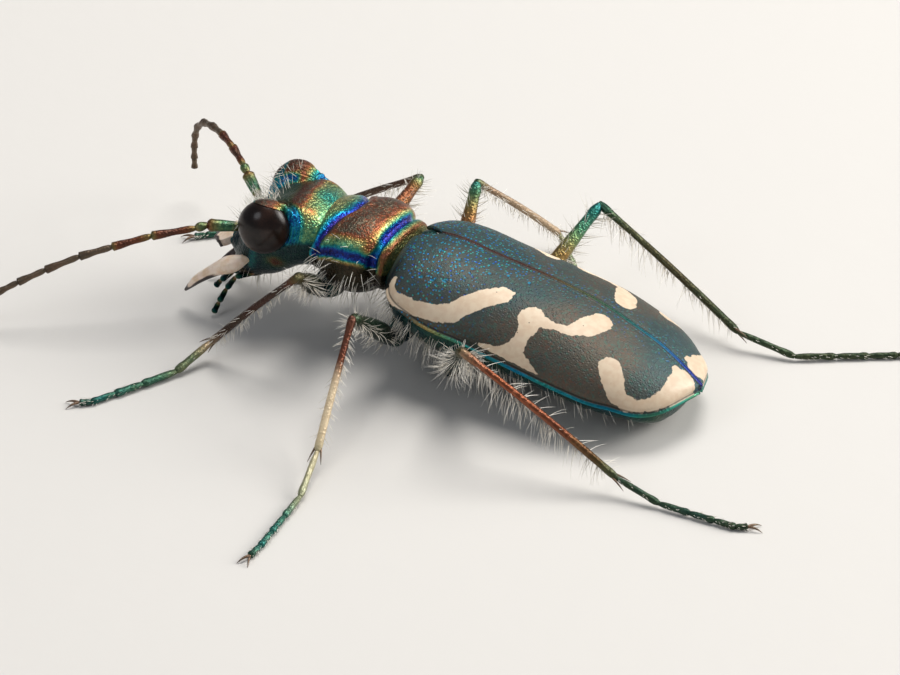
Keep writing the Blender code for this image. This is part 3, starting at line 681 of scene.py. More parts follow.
# %% Skin of the head
HEAD_SECTIONS = (
    (-0.25, 0.9, 0.5, -0.1, -0.9), (0.0, 1.2, 0.74, -0.05, -0.95), (0.25, 1.34, 0.86, 0.0, -1.0),
    (0.6, 1.42, 0.93, 0.0, -1.12), (0.95, 1.4, 0.95, -0.1, -1.4), (1.25, 1.35, 0.86, -0.25, -1.66),
    (1.6, 1.3, 0.7, -0.4, -1.84), (1.95, 1.26, 0.44, -0.6, -1.96), (2.2, 1.16, 0.06, -0.8, -1.88),
    (2.4, 0.98, -0.32, -0.9, -1.66), (2.56, 0.82, -0.6, -0.98, -1.44), (2.7, 0.7, -0.76, -1.0, -1.28),
    (2.82, 0.62, -0.86, -1.0, -1.2),
)
EYE_CENTRE = np.array((1.68, 1.4, 0.13))
EYE_SIZE = np.array((0.7, 0.55, 0.79))
HEAD_TONES = (
    (0, 0.5), (0.4, 0.45), (0.6, 0.5), (0.72, 0.58), (0.84, 0.74), (0.96, 0.93), (1.1, 0.9),
    (1.35, 0.52), (1.7, 0.42), (2.6, 0.5),
)
BROW_TONES = ((0.7, 0.17), (1.05, 0.22), (1.25, 0.42), (1.45, 0.72), (1.8, 0.9))
CHEEK_EDGE = ((0, 0.2), (0.5, 0.16), (0.9, -0.02), (1.3, -0.35), (2.8, -0.45))


LID_SIZE, LID_REACH = 1.03, 0.767
LID_AXIS = Vector((0.02, -0.28, 0.96))


def from_eyes(points):
    """How far outside the nearer eye's dome each point is, as a share of the eye's size."""
    mirrored = np.column_stack([points[:, 0], np.abs(points[:, 1]), points[:, 2]])
    return np.linalg.norm((mirrored - EYE_CENTRE) / EYE_SIZE, axis=1) - 1


def eye_ridges(points):
    """Waves that run round the back of each eye, like the fine ridges of the real skin."""
    x, _, z = points.T
    off = from_eyes(points)
    zone = rise(0.04, 0.1, off) * rise(0.7, 0.5, off) * rise(1.6, 1.3, x) * rise(-0.3, 0.0, z)
    return np.sin(2 * math.pi * off / 0.12) * zone


def paint_head(obj):
    """Tone, dark and grain of the head's skin, from the place of each point."""
    points = points_of(obj)
    x, y, z = points.T
    side = np.abs(y)
    off = np.clip(from_eyes(points), 0, 1)
    ridges = eye_ridges(points)
    tone = between(HEAD_TONES, x) - 0.1 * near(y, 0.3) * rise(1.0, 0.7, x)
    low = 0.25 - 0.08 * rise(0.1, -0.1, z)
    brow = low + (between(BROW_TONES, x) - low) * rise(0.25, 0.6, z)
    tone = brow + (tone - brow) * rise(0.38, 0.74, off) + 0.05 * ridges
    tone = np.where(x > 2.05, np.minimum(tone, 0.3 + 0.3 * near(y, 0.2)), tone)
    blue = near(side - 0.88, 0.12) * rise(1.45, 1.65, x) * rise(2.2, 2.0, x) * rise(0.2, 0.4, z)
    tone = tone * (1 - blue) + 0.15 * blue
    edge = between(CHEEK_EDGE, x)
    cheek = rise(edge, edge - 0.22, z) * rise(2.75, 2.5, x)
    tone = tone * (1 - cheek) + 0.3 * cheek
    red = near(x - 1.2, 0.26) * near(z + 0.9, 0.2) * rise(0.8, 1.0, side)
    tone = tone * (1 - red) + 0.77 * red
    rusty = near(x - 0.58, 0.2) * near(side - 0.98, 0.17) * rise(-0.1, 0.3, z)
    tone = tone * (1 - rusty) + 0.7 * rusty
    vertex = rise(0.9, 1.25, x) * rise(0.1, 0.4, z) * rise(0.1, 0.4, off) * (1 - 0.8 * blue)
    lid = rise(1.35, 1.6, x) * rise(0.3, 0.1, off) * rise(0.3, 0.6, z)
    # Painted shade: the underside of the head, the face round the mouth below the eyes, the neck where it
    # goes into the collar and the troughs of the ridges are painted darker. The cheeks are painted almost
    # black, partly their own dark green and partly painted shade under the head.
    dark = (0.92 - 0.2 * red - 0.25 * near(x - 1.9, 0.12)) * cheek + 0.3 * rise(-1.3, -1.6, z)
    dark += 0.88 * vertex + 0.5 * lid + 0.5 * rise(0.25, 0.1, x) + 0.12 * np.maximum(-ridges, 0)
    dark += 0.7 * rise(1.95, 2.2, x) * rise(-0.55, -0.85, z)
    paint(obj, "tone", tone)
    paint(obj, "dark", np.clip(dark, 0, 0.96))
    paint(obj, "grain", rise(0.5, 0.9, tone))


def make_lid(side):
    """The edge of the brow that overhangs an eye: a cap cut from a slightly larger dome."""
    deselect()
    bpy.ops.mesh.primitive_uv_sphere_add(segments=96, ring_count=64, radius=1)
    lid = bpy.context.object
    bpy.ops.object.mode_set(mode="EDIT")
    bpy.ops.mesh.select_all(action="SELECT")
    bpy.ops.mesh.bisect(
        plane_co=LID_AXIS * LID_REACH, plane_no=LID_AXIS, use_fill=True, clear_inner=True,
    )
    bpy.ops.object.mode_set(mode="OBJECT")
    hand = 1 if side == "left" else -1
    put_points(lid, (points_of(lid) * EYE_SIZE * LID_SIZE + EYE_CENTRE) * (1, hand, 1))
    if side == "right":
        lid.data.flip_normals()
    return lid


def make_head():
    body = body_form("head", HEAD_SECTIONS, 208, 184, 0.96)
    x, y, z = points_of(body).T
    side = np.abs(y)
    length = np.where(x < EYE_CENTRE[0] - 0.04, 1.45, 1.14) * EYE_SIZE[0]
    off_eye = ((side - EYE_CENTRE[1]) / (1.25 * EYE_SIZE[1])) ** 2
    off_eye = off_eye + ((x - EYE_CENTRE[0] + 0.04) / length) ** 2
    level = between([(section[0], section[3]) for section in HEAD_SECTIONS], x)
    wrap = rise(1.39, 1.33, side) * rise(level + 0.02, level + 0.3, z) * rise(1.35, 1.1, off_eye)
    crest = EYE_CENTRE[2] + EYE_SIZE[2] * np.sqrt(np.clip(1 - off_eye, 0, 1))
    lift = crest - z
    lift = (lift + np.sqrt(lift**2 + 0.0036)) / 2
    z = z + lift * wrap
    z = z + 0.13 * near(side - 1.08, 0.3) * near(x - 0.72, 0.45) * rise(0.1, 0.4, z)
    put_points(body, np.column_stack([x, y, z]))
    points = points_of(body)
    x, y, z = points.T
    off = from_eyes(points)
    top = rise(-0.35, 0.2, z)
    fore_and_aft = np.sin(2 * math.pi * side / 0.085) * rise(0.6, 0.75, side) * top
    relief = 0.03 * near(off - 0.16, 0.12) * rise(0.5, 0, z) + 0.016 * eye_ridges(points)
    relief += 0.011 * fore_and_aft * rise(1.1, 1.3, x) * rise(1.9, 1.6, x)
    relief -= 0.07 * near(y, 0.42) * near(x - 1.6, 0.5) * top
    relief -= 0.02 * near(side - 0.3, 0.08) * near(x - 2.2, 0.25)
    relief -= 0.04 * near(x - 2.5, 0.06) * rise(-1.2, -0.8, z)
    push(body, relief)
    return body


def ring_at(centre, direction, radius, thickness):
    """A raised rim round a socket."""
    deselect()
    bpy.ops.mesh.primitive_torus_add(
        major_radius=radius, minor_radius=thickness, major_segments=28, minor_segments=10,
    )
    ring = bpy.context.object
    turn = Vector(direction).to_track_quat("Z", "Y").to_matrix().to_4x4()
    ring.data.transform(Matrix.Translation(centre) @ turn)
    return ring


# %% [markdown]
# ## Limbs
# Legs, feelers and palps are all made of turned segments. One profile is drawn up an axis from a
# round disc: extrude, resize, and again. The finished segment is then copied and laid between
# each two joints, a little bowed where the real one is, so that the pattern of a whole leg is a
# handful of profiles and a list of joints.

# %% Turned segments, laid between joints
def turned(stops, sides=14, count=18):
    """A closed round form of unit length: stops are share along and radius."""
    shares = (1 - np.cos(np.linspace(0, math.pi, count))) / 2
    radii = np.maximum(between(stops, shares), 0.004)
    deselect()
    bpy.ops.mesh.primitive_circle_add(vertices=sides, radius=radii[0], fill_type="NGON")
    made = bpy.context.object
    bpy.ops.object.mode_set(mode="EDIT")
    bpy.ops.mesh.select_all(action="SELECT")
    for low, high, radius, wider in zip(shares, shares[1:], radii, radii[1:]):
        bpy.ops.mesh.extrude_region_move(TRANSFORM_OT_translate={"value": (0, 0, high - low)})
        size = wider / radius
        bpy.ops.transform.resize(value=(size, size, 1), center_override=(0, 0, high))
    bpy.ops.mesh.select_all(action="SELECT")
    bpy.ops.mesh.normals_make_consistent(inside=False)
    bpy.ops.object.mode_set(mode="OBJECT")
    return made


def across_of(direction):
    """Two directions square to the first and to each other, the second as high as it can be."""
    side = np.cross(direction, (0, 0, 1))
    if np.linalg.norm(side) < 0.05:
        side = np.cross(direction, (1, 0, 0))
    side = side / np.linalg.norm(side)
    return side, np.cross(side, direction)


def laid(template, start, end, girth=1.0, bow=0.0, flat=1.0, **values):
    """A copy of a turned segment between two points, with its painted values read along it."""
    start, end = np.asarray(start, float), np.asarray(end, float)
    length = np.linalg.norm(end - start)
    direction = (end - start) / length
    side, high = across_of(direction)
    made = template.copy()
    made.data = template.data.copy()
    bpy.context.scene.collection.objects.link(made)
    x, y, share = points_of(made).T
    lift = high * (bow * length)
    points = start + np.outer(share * length, direction) + np.outer(x * girth, side)
    points += np.outer(y * girth * flat, high) + np.outer(np.sin(math.pi * np.clip(share, 0, 1)), lift)
    put_points(made, points)
    paint(made, "share", share)
    for name, stops in values.items():
        paint(made, name, between(stops, share))
    return made


def remove(*objects):
    for obj in objects:
        bpy.data.objects.remove(obj)


# %% [markdown]
# The feelers have eleven segments. The first is stout, the second a short ball, and the rest are
# slender rods that widen a little to their far end. The first four shine green with copper ends,
# and the others are dull and downy.

# %% Feelers
ANTENNAE = {
    "left": (
        (5.16, 1.32, 2.77), (5.92, 1.8, 2.86), (6.14, 2.08, 2.84), (7.1, 2.85, 2.72), (7.96, 3.54, 2.48),
        (8.7, 4.08, 2.24), (9.48, 4.62, 1.86), (10.12, 5.05, 1.5), (10.66, 5.36, 1.14), (11.1, 5.62, 0.84),
        (11.42, 5.8, 0.62), (11.7, 5.92, 0.48),
    ),
    "right": (
        (5.5, -0.3, 2.75), (6.08, -0.66, 3.16), (6.32, -0.86, 3.26), (6.98, -1.4, 3.34), (7.6, -1.86, 3.34),
        (8.16, -2.24, 3.24), (8.64, -2.56, 3.04), (8.98, -2.78, 2.66), (9.14, -2.9, 2.24),
        (9.2, -2.94, 1.84), (9.22, -2.96, 1.46), (9.22, -2.96, 1.14),
    ),
}
SCAPE = turned(((0, 0.1), (0.08, 0.13), (0.3, 0.15), (0.75, 0.17), (0.94, 0.16), (1, 0.1)))
PEDICEL = turned(((0, 0.08), (0.3, 0.12), (0.8, 0.12), (1, 0.07)), 14, 12)
ROD = turned(((0, 0.07), (0.05, 0.085), (0.5, 0.095), (0.9, 0.125), (0.98, 0.115), (1, 0.07)))
DULL_FROM = 4
FEELER_TONES = (
    ((0, 0.7), (0.2, 0.5), (0.6, 0.48), (0.85, 0.62), (1, 0.76)), ((0, 0.6), (0.5, 0.5), (1, 0.6)),
    ((0, 0.6), (0.2, 0.76), (0.8, 0.8), (1, 0.55)), ((0, 0.6), (0.3, 0.74), (0.8, 0.8), (1, 0.6)),
    ((0, 0.9), (1, 0.9)),
)


def make_antenna(side):
    """Three lengths, as in the solids: each is one piece of several segments."""
    joints = ANTENNAE[side]
    pieces = []
    for i, (start, end) in enumerate(zip(joints, joints[1:])):
        shape = SCAPE if i == 0 else PEDICEL if i == 1 else ROD
        girth = 1.0 if i < 2 else 1.0 - 0.03 * (i - 2)
        shiny = i < DULL_FROM
        pieces.append(laid(
            shape, start, end, girth,
            tone=FEELER_TONES[min(i, DULL_FROM)],
            dark=((0, 0.55), (0.5, 0.5), (1, 0.55)) if shiny else ((0, 0.74), (0.8, 0.64), (1, 0.8)),
            pale=((0, 0), (1, 0)) if shiny else ((0, 0.12), (1, 0.06)),
        ))
    lengths = (("base", 0, 4), ("middle", 4, 7), ("tip", 7, 11))
    return {name: joined(pieces[a:b], f"feeler_{side}_{name}") for name, a, b in lengths}


antennae = {side: make_antenna(side) for side in ANTENNAE}

# %% [markdown]
# Legs and feelers share one finish. Its tone is read along each segment, and two more painted
# values say how dark it is there and how far it has turned to pale straw, as on the middle
# shins. The darkness is partly the cuticle's own and partly painted shade, which is deepest on
# the near legs.

# %% Finish of legs and feelers
def limb_finish():
    f = Finish("limb_finish", {"Specular IOR Level": 0.5})
    here = f.place()
    tone, dark, pale = f.value("tone"), f.value("dark"), f.value("pale")
    drift = f.noise(here, 1.6, 2.0) - 0.5
    fine = f.noise(here, 14.0, 2.0) - 0.5
    # The painted dark value darkens the colour: the cuticle's own dark parts and the painted shade.
    colour = f.tint(f.shine(tone + drift * 0.14 + fine * 0.1), (0.85 + fine * 0.7) * (1 - dark) + 0.01)
    straw = f.mix((0.55, 0.4, 0.23), (0.85, 0.72, 0.5), f.noise(here, 6.0, 3.0))
    f.feed("Base Color", f.mix(colour, straw, pale))
    f.feed("Metallic", 0.9 - pale * 0.8 - dark * 0.35)
    f.feed("Roughness", 0.34 + fine * 0.16)
    f.feed("Normal", f.bump(f.cells(here, 13.0).rises(0.6, 0.15), 0.01))
    return f.material


leg_finish = limb_finish()
for side, lengths in antennae.items():
    for name, piece in lengths.items():
        slot = "leg_bronze" if name == "base" else "feeler_brown"
        settle(piece, FLOOR, leg_finish, [f"antenna_{side}_{name}"])

# %% [markdown]
# The head is put together: skin, the lids, a rim round each feeler's socket, and the dark mass
# from which the jaws and palps come. The rims are rings that face along the feeler's first
# segment.

# %% Head and pronotum, put in place
def in_head(point):
    return moved(HEAD.inverted() @ FLOOR, [point])[0]


def make_mouth():
    """The dark mass below the head from which the jaws and palps come."""
    deselect()
    bpy.ops.mesh.primitive_uv_sphere_add(segments=40, ring_count=26, radius=1)
    mouth = bpy.context.object
    put_points(mouth, points_of(mouth) * (0.55, 0.82, 0.34) + (2.12, 0, -1.72))
    for key, value in (("tone", 0.6), ("dark", 0.94), ("grain", 0.0)):
        paint(mouth, key, value)
    return mouth


head_parts = [make_head(), make_lid("left"), make_lid("right")]
for part in head_parts:
    paint_head(part)
for side, joints in ANTENNAE.items():
    start, onward = in_head(joints[0]), in_head(joints[1])
    rim = ring_at(start - (onward - start) * 0.12, onward - start, 0.15, 0.045)
    paint(rim, "tone", 0.4)
    paint(rim, "dark", 0.7)
    paint(rim, "grain", 0.0)
    head_parts.append(rim)
    print("socket", side, start.round(2))
head = joined([*head_parts, make_mouth()], "head_skin")
settle(head, HEAD, forebody_finish("head_finish", HEAD), ["head"])
settle(pronotum, TRUNK, pronotum_finish, ["prothorax"])

# %% [markdown]
# ## Eyes
# Each eye is a big, glossy dome made of hundreds of facets too small to see one by one. The dome
# is real geometry, and the facets are a very shallow bump that only softens the highlight.

# %% Eyes
def eye_finish():
    f = Finish("eye_finish", {"Roughness": 0.36, "Specular IOR Level": 0.06, "Coat Roughness": 0.2})
    here = f.place(HEAD)
    cloud = f.noise(here, 1.4, 3.0)
    facets = f.cells(here, 26.0)
    colour = f.mix((0.005, 0.002, 0.001), (0.024, 0.01, 0.006), cloud.rises(0.35, 0.7))
    f.feed("Base Color", f.tint(colour, 0.75 + facets * 0.5))
    f.feed("Coat Weight", 0.46 + cloud * 0.16)
    f.feed("Normal", f.bump(facets, 0.004))
    return f.material


eye_material = eye_finish()
for side in ("left", "right"):
    deselect()
    bpy.ops.mesh.primitive_uv_sphere_add(segments=72, ring_count=48, radius=1)
    eye = bpy.context.object
    bulge = points_of(eye)
    bulge[:, 0] += 0.06 * (1 - bulge[:, 2] ** 2) * np.sign(bulge[:, 0]) * bulge[:, 0] ** 2
    points = bulge * EYE_SIZE + EYE_CENTRE
    if side == "right":
        points = points * (1, -1, 1)
    put_points(eye, points)
    if side == "right":
        eye.data.flip_normals()
    eye.name = "compound_eye_" + side
    settle(eye, HEAD, eye_material, ["eye_" + side])

# %% [markdown]
# ## Mouth
# The upper lip is a cream plate with three blunt teeth on its front edge. Below it the jaws are
# long sickles that cross in front, cream outside and dark along the biting edge, with teeth
# there. A jaw is a curve that thins to its tip. Its teeth are cones, and a fine remesh melts them
# into it, as on the real jaw, which is one casting.

# %% Rods along a curve
def smooth_path(points, count):
    """Many points on a smooth curve through a few."""
    points = np.array(points, float)
    gaps = np.r_[0, np.cumsum(np.linalg.norm(np.diff(points, axis=0), axis=1))]
    at = np.linspace(0, gaps[-1], count)
    return np.column_stack([between(np.column_stack([gaps, points[:, i]]), at) for i in range(3)])


def rod(points, radii, count=24, resolution=3):
    """A closed round rod along a smooth curve, with its own radius at each given point."""
    path = smooth_path(points, count)
    given = np.linspace(0, 1, len(radii))
    girths = between(np.column_stack([given, radii]), np.linspace(0, 1, count))
    curve = bpy.data.curves.new("rod", "CURVE")
    curve.dimensions = "3D"
    curve.bevel_depth = 1
    curve.bevel_resolution = resolution
    curve.use_fill_caps = True
    spline = curve.splines.new("POLY")
    spline.points.add(count - 1)
    for knot, place, girth in zip(spline.points, path, girths):
        knot.co = (*place, 1)
        knot.radius = girth
    made = bpy.data.objects.new("rod", curve)
    bpy.context.scene.collection.objects.link(made)
    use(made)
    bpy.ops.object.convert(target="MESH")
    bpy.ops.object.mode_set(mode="EDIT")
    bpy.ops.mesh.select_all(action="SELECT")
    bpy.ops.mesh.remove_doubles(threshold=0.0005)
    bpy.ops.mesh.normals_make_consistent(inside=False)
    bpy.ops.object.mode_set(mode="OBJECT")
    return made


def cone(root, tip, radius, sides=10):
    root, tip = Vector(root), Vector(tip)
    deselect()
    bpy.ops.mesh.primitive_cone_add(
        vertices=sides, radius1=radius, radius2=radius * 0.12, depth=(tip - root).length,
    )
    made = bpy.context.object
    turn = (tip - root).to_track_quat("Z", "Y").to_matrix().to_4x4()
    made.data.transform(Matrix.Translation((root + tip) / 2) @ turn)
    return made


def melt(obj, voxel, rounds):
    """One closed skin over joined forms, with the creases between them softened."""
    use(obj)
    obj.data.remesh_voxel_size = voxel
    bpy.ops.object.voxel_remesh()
    soften = obj.modifiers.new("soften", "SMOOTH")
    soften.factor = 0.5
    soften.iterations = rounds
    bpy.ops.object.modifier_apply(modifier="soften")
    return obj


# %% Jaws
JAW_LINE = (
    (2.0, 1.1, -1.12), (2.27, 1.24, -1.29), (2.62, 1.25, -1.55), (3.0, 1.17, -1.92), (3.34, 1.04, -2.32),
    (3.7, 0.78, -2.92),
)
JAW_RADII = (0.1, 0.26, 0.195, 0.155, 0.12, 0.045)
JAW_TEETH = ((0.3, 0.34, 0.12), (0.46, 0.36, 0.11), (0.62, 0.3, 0.09))


def make_jaw(side):
    path = smooth_path(JAW_LINE, 40)
    parts = [rod(JAW_LINE, JAW_RADII, 30)]
    inward = np.array((0.25, -0.95, -0.2))
    for share, reach, radius in JAW_TEETH:
        root = path[int(share * 39)]
        parts.append(cone(root, root + inward * reach, radius))
    jaw = melt(joined(parts, "jaw_" + side), 0.028, 3)
    points = points_of(jaw)
    apart = np.linalg.norm(points[:, None] - path[None], axis=2)
    nearest = apart.argmin(1)
    inner = ((points - path[nearest]) @ inward) / 0.2
    share = nearest / 39
    biting = rise(0.05, 0.8, inner + 0.5 * rise(0.3, 0.9, share))
    below = ((points - path[nearest]) @ (-0.72, 0.2, -0.66)) / 0.13
    shade = rise(0.1, 0.8, below) * rise(0.3, 0.55, share)
    paint(jaw, "dark", np.clip(rise(0.84, 0.96, share) + biting + shade, 0, 1))
    if side == "right":
        put_points(jaw, points * (1, -1, 1) + (-0.2, 0.06, -0.2))
        jaw.data.flip_normals()
    return jaw


def jaw_finish():
    f = Finish("jaw_finish", {"Roughness": 0.36, "Subsurface Weight": 0.08, "Subsurface Scale": 0.0002})
    here = f.place(HEAD)
    stain = f.noise(here, 4.0, 3.0)
    cream = f.mix((0.9, 0.74, 0.61), (0.74, 0.53, 0.35), stain.rises(0.35, 0.75))
    colour = f.mix(cream, (0.02, 0.01, 0.008), (f.value("dark") + stain * 0.25 - 0.12).rises(0.15, 0.75))
    f.feed("Base Color", colour)
    f.feed("Normal", f.bump(f.noise(here, 14.0, 2.0), 0.012))
    return f.material


jaw_material = jaw_finish()
for side in ("left", "right"):
    settle(make_jaw(side), HEAD, jaw_material, ["mandible_" + side])

# %% Lip
LIP_HINGE = (2.74, 0, -0.84)
LIP_LENGTH, LIP_WIDTH, LIP_THICKNESS = 0.66, 1.5, 0.2
FACE_SLOPE = 40


def make_lip():
    """A plate that narrows and thins forward, with three teeth drawn out of its front edge."""
    deselect()
    bpy.ops.mesh.primitive_cube_add(size=1, location=(LIP_LENGTH / 2, 0, -LIP_THICKNESS / 2))
    lip = bpy.context.object
    lip.scale = (LIP_LENGTH, LIP_WIDTH, LIP_THICKNESS)
    bpy.ops.object.transform_apply(location=True, rotation=False, scale=True)
    bpy.ops.object.mode_set(mode="EDIT")
    bpy.ops.mesh.select_all(action="SELECT")
    bpy.ops.mesh.subdivide(number_cuts=27)
    bpy.ops.object.mode_set(mode="OBJECT")
    x, y, z = points_of(lip).T
    front = rise(0, LIP_LENGTH, x)
    across = y / (LIP_WIDTH / 2)
    teeth = sum(near(y - place, 0.09) for place in (-0.34, 0, 0.34))
    x = x + front**2 * (0.12 * teeth - 0.12 * across**2)
    y = y * (1 - 0.2 * front - 0.12 * rise(0.5, 0, x / LIP_LENGTH))
    z = z + 0.1 * (1 - across**2) * (1 - 0.4 * front) - 0.05 * across**2
    put_points(lip, np.column_stack([x, y, z]))
    paint(lip, "dark", 0.75 * rise(0.86, 1.0, front) + 0.4 * rise(0.93, 1, np.abs(across)))
    soften = lip.modifiers.new("soften", "SMOOTH")
    soften.factor = 0.5
    soften.iterations = 3
    use(lip)
    bpy.ops.object.modifier_apply(modifier="soften")
    lip.name = "upper_lip"
    lip.data.transform(Matrix.Translation(LIP_HINGE) @ Matrix.Rotation(math.radians(FACE_SLOPE), 4, "Y"))
    return lip


settle(make_lip(), HEAD, jaw_material, ["labrum"])

# %% [markdown]
# The palps are the mouth's own little feelers. Their segments are dark green and each joint shows
# an orange ring.

# %% Palps
PALPS = {
    "maxillary_palp": (
        (1.85, 0.8, -1.7), (2.35, 0.78, -2.0), (2.56, 0.7, -2.5), (2.66, 0.86, -2.9), (2.72, 0.98, -3.22),
    ),
    "labial_palp": ((2.1, 0.3, -1.75), (2.55, 0.38, -2.1), (2.88, 0.26, -2.55), (3.02, 0.2, -2.82)),
}
PALP = turned(((0, 0.06), (0.1, 0.09), (0.6, 0.12), (0.92, 0.12), (1, 0.07)), 12, 14)
for side in ("left", "right"):
    for name, joints in PALPS.items():
        places = [np.array(p) * (1, 1 if side == "left" else -1, 1) for p in joints]
        if side == "right":
            places = [p + (0, 0, 0.15 * (-1.7 - p[2])) for p in places]
        segments = [
            laid(
                PALP, a, b, 0.66,
                tone=((0, 0.8), (0.12, 0.62), (0.9, 0.42), (1, 0.5)),
                dark=((0, 0.4), (0.2, 0.8), (0.85, 0.78), (1, 0.6)),
                pale=((0, 0.35), (0.1, 0), (0.94, 0), (1, 0.3)),
            )
            for a, b in zip(places, places[1:])
        ]
        palp = joined(segments, f"mouth_palp_{name[0]}_{side}")
        settle(palp, HEAD, leg_finish, [f"{name}_{side}"])

# %% [markdown]
# ## Hind body
# Under the wing cases lie the thorax, which carries four of the legs, and the ringed abdomen.
# Both are made as sectioned forms like the forebody. The scutellum, a small shield between the
# bases of the wing cases, belongs to the thorax and is joined to it.

# %% Thorax, scutellum and abdomen
BELLY_DEPTHS = ((0, 0.6), (1.2, 0.85), (2.6, 0.85), (5, 0.42), (7.4, 0.32), (8.8, 0.1))
RING_LENGTH = 0.88


def belly_sections(front, back, count, inset):
    """Sections that follow the wing cases' margin above and the belly's depth below."""
    rows = []
    for x in np.linspace(back, front, count):
        half, top, height = [float(v[0]) for v in case_profile(np.array([max(-x, 0) / CASE_LENGTH]))]
        edge = top - height
        depth = float(between(BELLY_DEPTHS, -x))
        waist = 1 - 0.42 * float(rise(0.0, 0.5, x))
        crown = edge + 0.62 * height * waist
        rows.append((x, (half - inset) * waist, crown, edge - 0.06, edge - 0.42 - depth * waist))
    return rows


def hip_parts(pairs):
    """The swollen hip and the small ring that joins it to the thigh, on both sides."""
    parts = []
    for pair in pairs:
        for hand in (1, -1):
            hip, start = [np.array(spot) * (1, hand, 1) for spot in (HIPS[pair], THIGHS[pair])]
            parts.append(laid(HIP, hip + (hip - start) * 0.5, hip + (start - hip) * 0.85, 1.0))
            parts.append(laid(RING, hip + (start - hip) * 0.6, start + (start - hip) * 0.12, 1.0))
    return parts


HIPS = {"front": (2.2, 0.62, -2.35), "middle": (-0.35, 0.75, -2.4), "hind": (-2.15, 0.8, -2.35)}
THIGHS = {"front": (2.22, 1.35, -2.32), "middle": (-0.45, 1.7, -2.6), "hind": (-2.4, 1.95, -2.55)}
HIP = turned(((0, 0.2), (0.2, 0.4), (0.55, 0.42), (0.85, 0.3), (1, 0.12)), 20, 18)
RING = turned(((0, 0.14), (0.25, 0.22), (0.7, 0.24), (1, 0.12)), 16, 14)


def make_thorax():
    body = body_form("thorax_skin", belly_sections(0.5, -3.1, 12, 0.12), 112, 96, 0.93, 2.0)
    x, y, z = points_of(body).T
    plates = -0.05 * (near(x + 1.35 + 0.25 * z, 0.05) + near(x + 2.55, 0.05) + near(x + 0.25, 0.05))
    push(body, plates * rise(-0.9, -1.3, z))
    deselect()
    bpy.ops.mesh.primitive_uv_sphere_add(segments=36, ring_count=24, radius=1)
    shield = bpy.context.object
    a, b, c = points_of(shield).T
    width = 0.36 * np.clip(1 - 0.75 * rise(-0.9, 1, -a), 0.1, 1)
    put_points(shield, np.column_stack([-0.24 + 0.34 * a, b * width, -0.12 + 0.16 * c]))
    return joined([body, shield, *hip_parts(("middle", "hind"))], "thorax_skin")


def make_abdomen():
    body = body_form("abdomen_skin", belly_sections(-2.95, -8.45, 16, 0.2), 112, 150, 0.96, 2.0)
    x, _, z = points_of(body).T
    step = np.mod(-(x + 3.05), RING_LENGTH) / RING_LENGTH
    push(body, (0.035 * step - 0.05 * near(step - 1, 0.07) - 0.03 * near(step, 0.05)) * rise(-0.6, -1.0, z))
    return body


def belly_finish():
    f = Finish("belly_finish", {"Specular IOR Level": 0.5})
    here = f.place(TRUNK)
    cloud = f.noise(here, 1.2, 3.0)
    fine = f.noise(here, 15.0, 2.0) - 0.5
    colour = f.tint(f.shine(cloud * 0.5 + fine * 0.1 + 0.1), 0.06 + cloud * 0.16)
    f.feed("Base Color", colour)
    f.feed("Metallic", 0.7)
    f.feed("Roughness", 0.34 + fine * 0.2)
    f.feed("Normal", f.bump(f.cells(here, 9.0).rises(0.5, 0.1), 0.014))
    return f.material


belly_material = belly_finish()
thorax = settle(make_thorax(), TRUNK, belly_material, ["thorax"])
abdomen = settle(make_abdomen(), TRUNK, belly_material, ["abdomen"])
front_hips = joined(hip_parts(("front",)), "front_hips")
settle(front_hips, TRUNK, belly_material, ["prothorax"])

# %% [markdown]
# ## Legs
# Each leg has a spindle-shaped thigh, a straight shin that ends in two spurs, and a foot of five
# small segments with a pair of claws. Colours change from leg to leg and along each: the middle
# shin is red at the knee and then straw. The thighs are all of one copper and green cuticle, but
# the near ones, turned away from the light, are painted almost black as painted shade, and the
# far legs are painted brighter, as lit, so they glow copper and green. So every leg brings its own
# stops of tone, dark and pale.

# %% Joints of the legs: knee, ankle, heel, last foot joint and claw tips
LEGS = {
    "leg_front_left": (
        (2.01, 3.58, 3.35), (4.62, 3.87, 0.6), (5.06, 5.03, 0.34), (6.36, 7.36, 0.2), (6.95, 7.74, 0.14),
    ),
    "leg_middle_left": (
        (-0.05, 4.19, 3.05), (-0.57, 7.05, 0.6), (-0.9, 8.55, 0.34), (-1.07, 10.94, 0.2),
        (-1.03, 12.06, 0.14),
    ),
    "leg_hind_left": (
        (-3.65, 4.6, 3.35), (-8.15, 4.24, 0.55), (-9.41, 4.24, 0.34), (-11.64, 4.15, 0.2),
        (-12.24, 3.8, 0.14),
    ),
    "leg_front_right": (
        (2.15, -3.57, 2.6), (5.26, -3.73, 0.55), (6.12, -3.0, 0.34), (7.95, -1.4, 0.2), (8.5, -0.95, 0.14),
    ),
    "leg_middle_right": (
        (0.33, -3.53, 3.01), (-1.12, -5.75, 0.52), (-2.1, -4.85, 0.34), (-4.2, -3.75, 0.2),
        (-4.85, -3.55, 0.14),
    ),
    "leg_hind_right": (
        (-2.85, -4.88, 2.5), (-7.82, -3.65, 0.52), (-9.49, -3.81, 0.34), (-11.91, -5.3, 0.2),
        (-12.58, -5.72, 0.14),
    ),
}

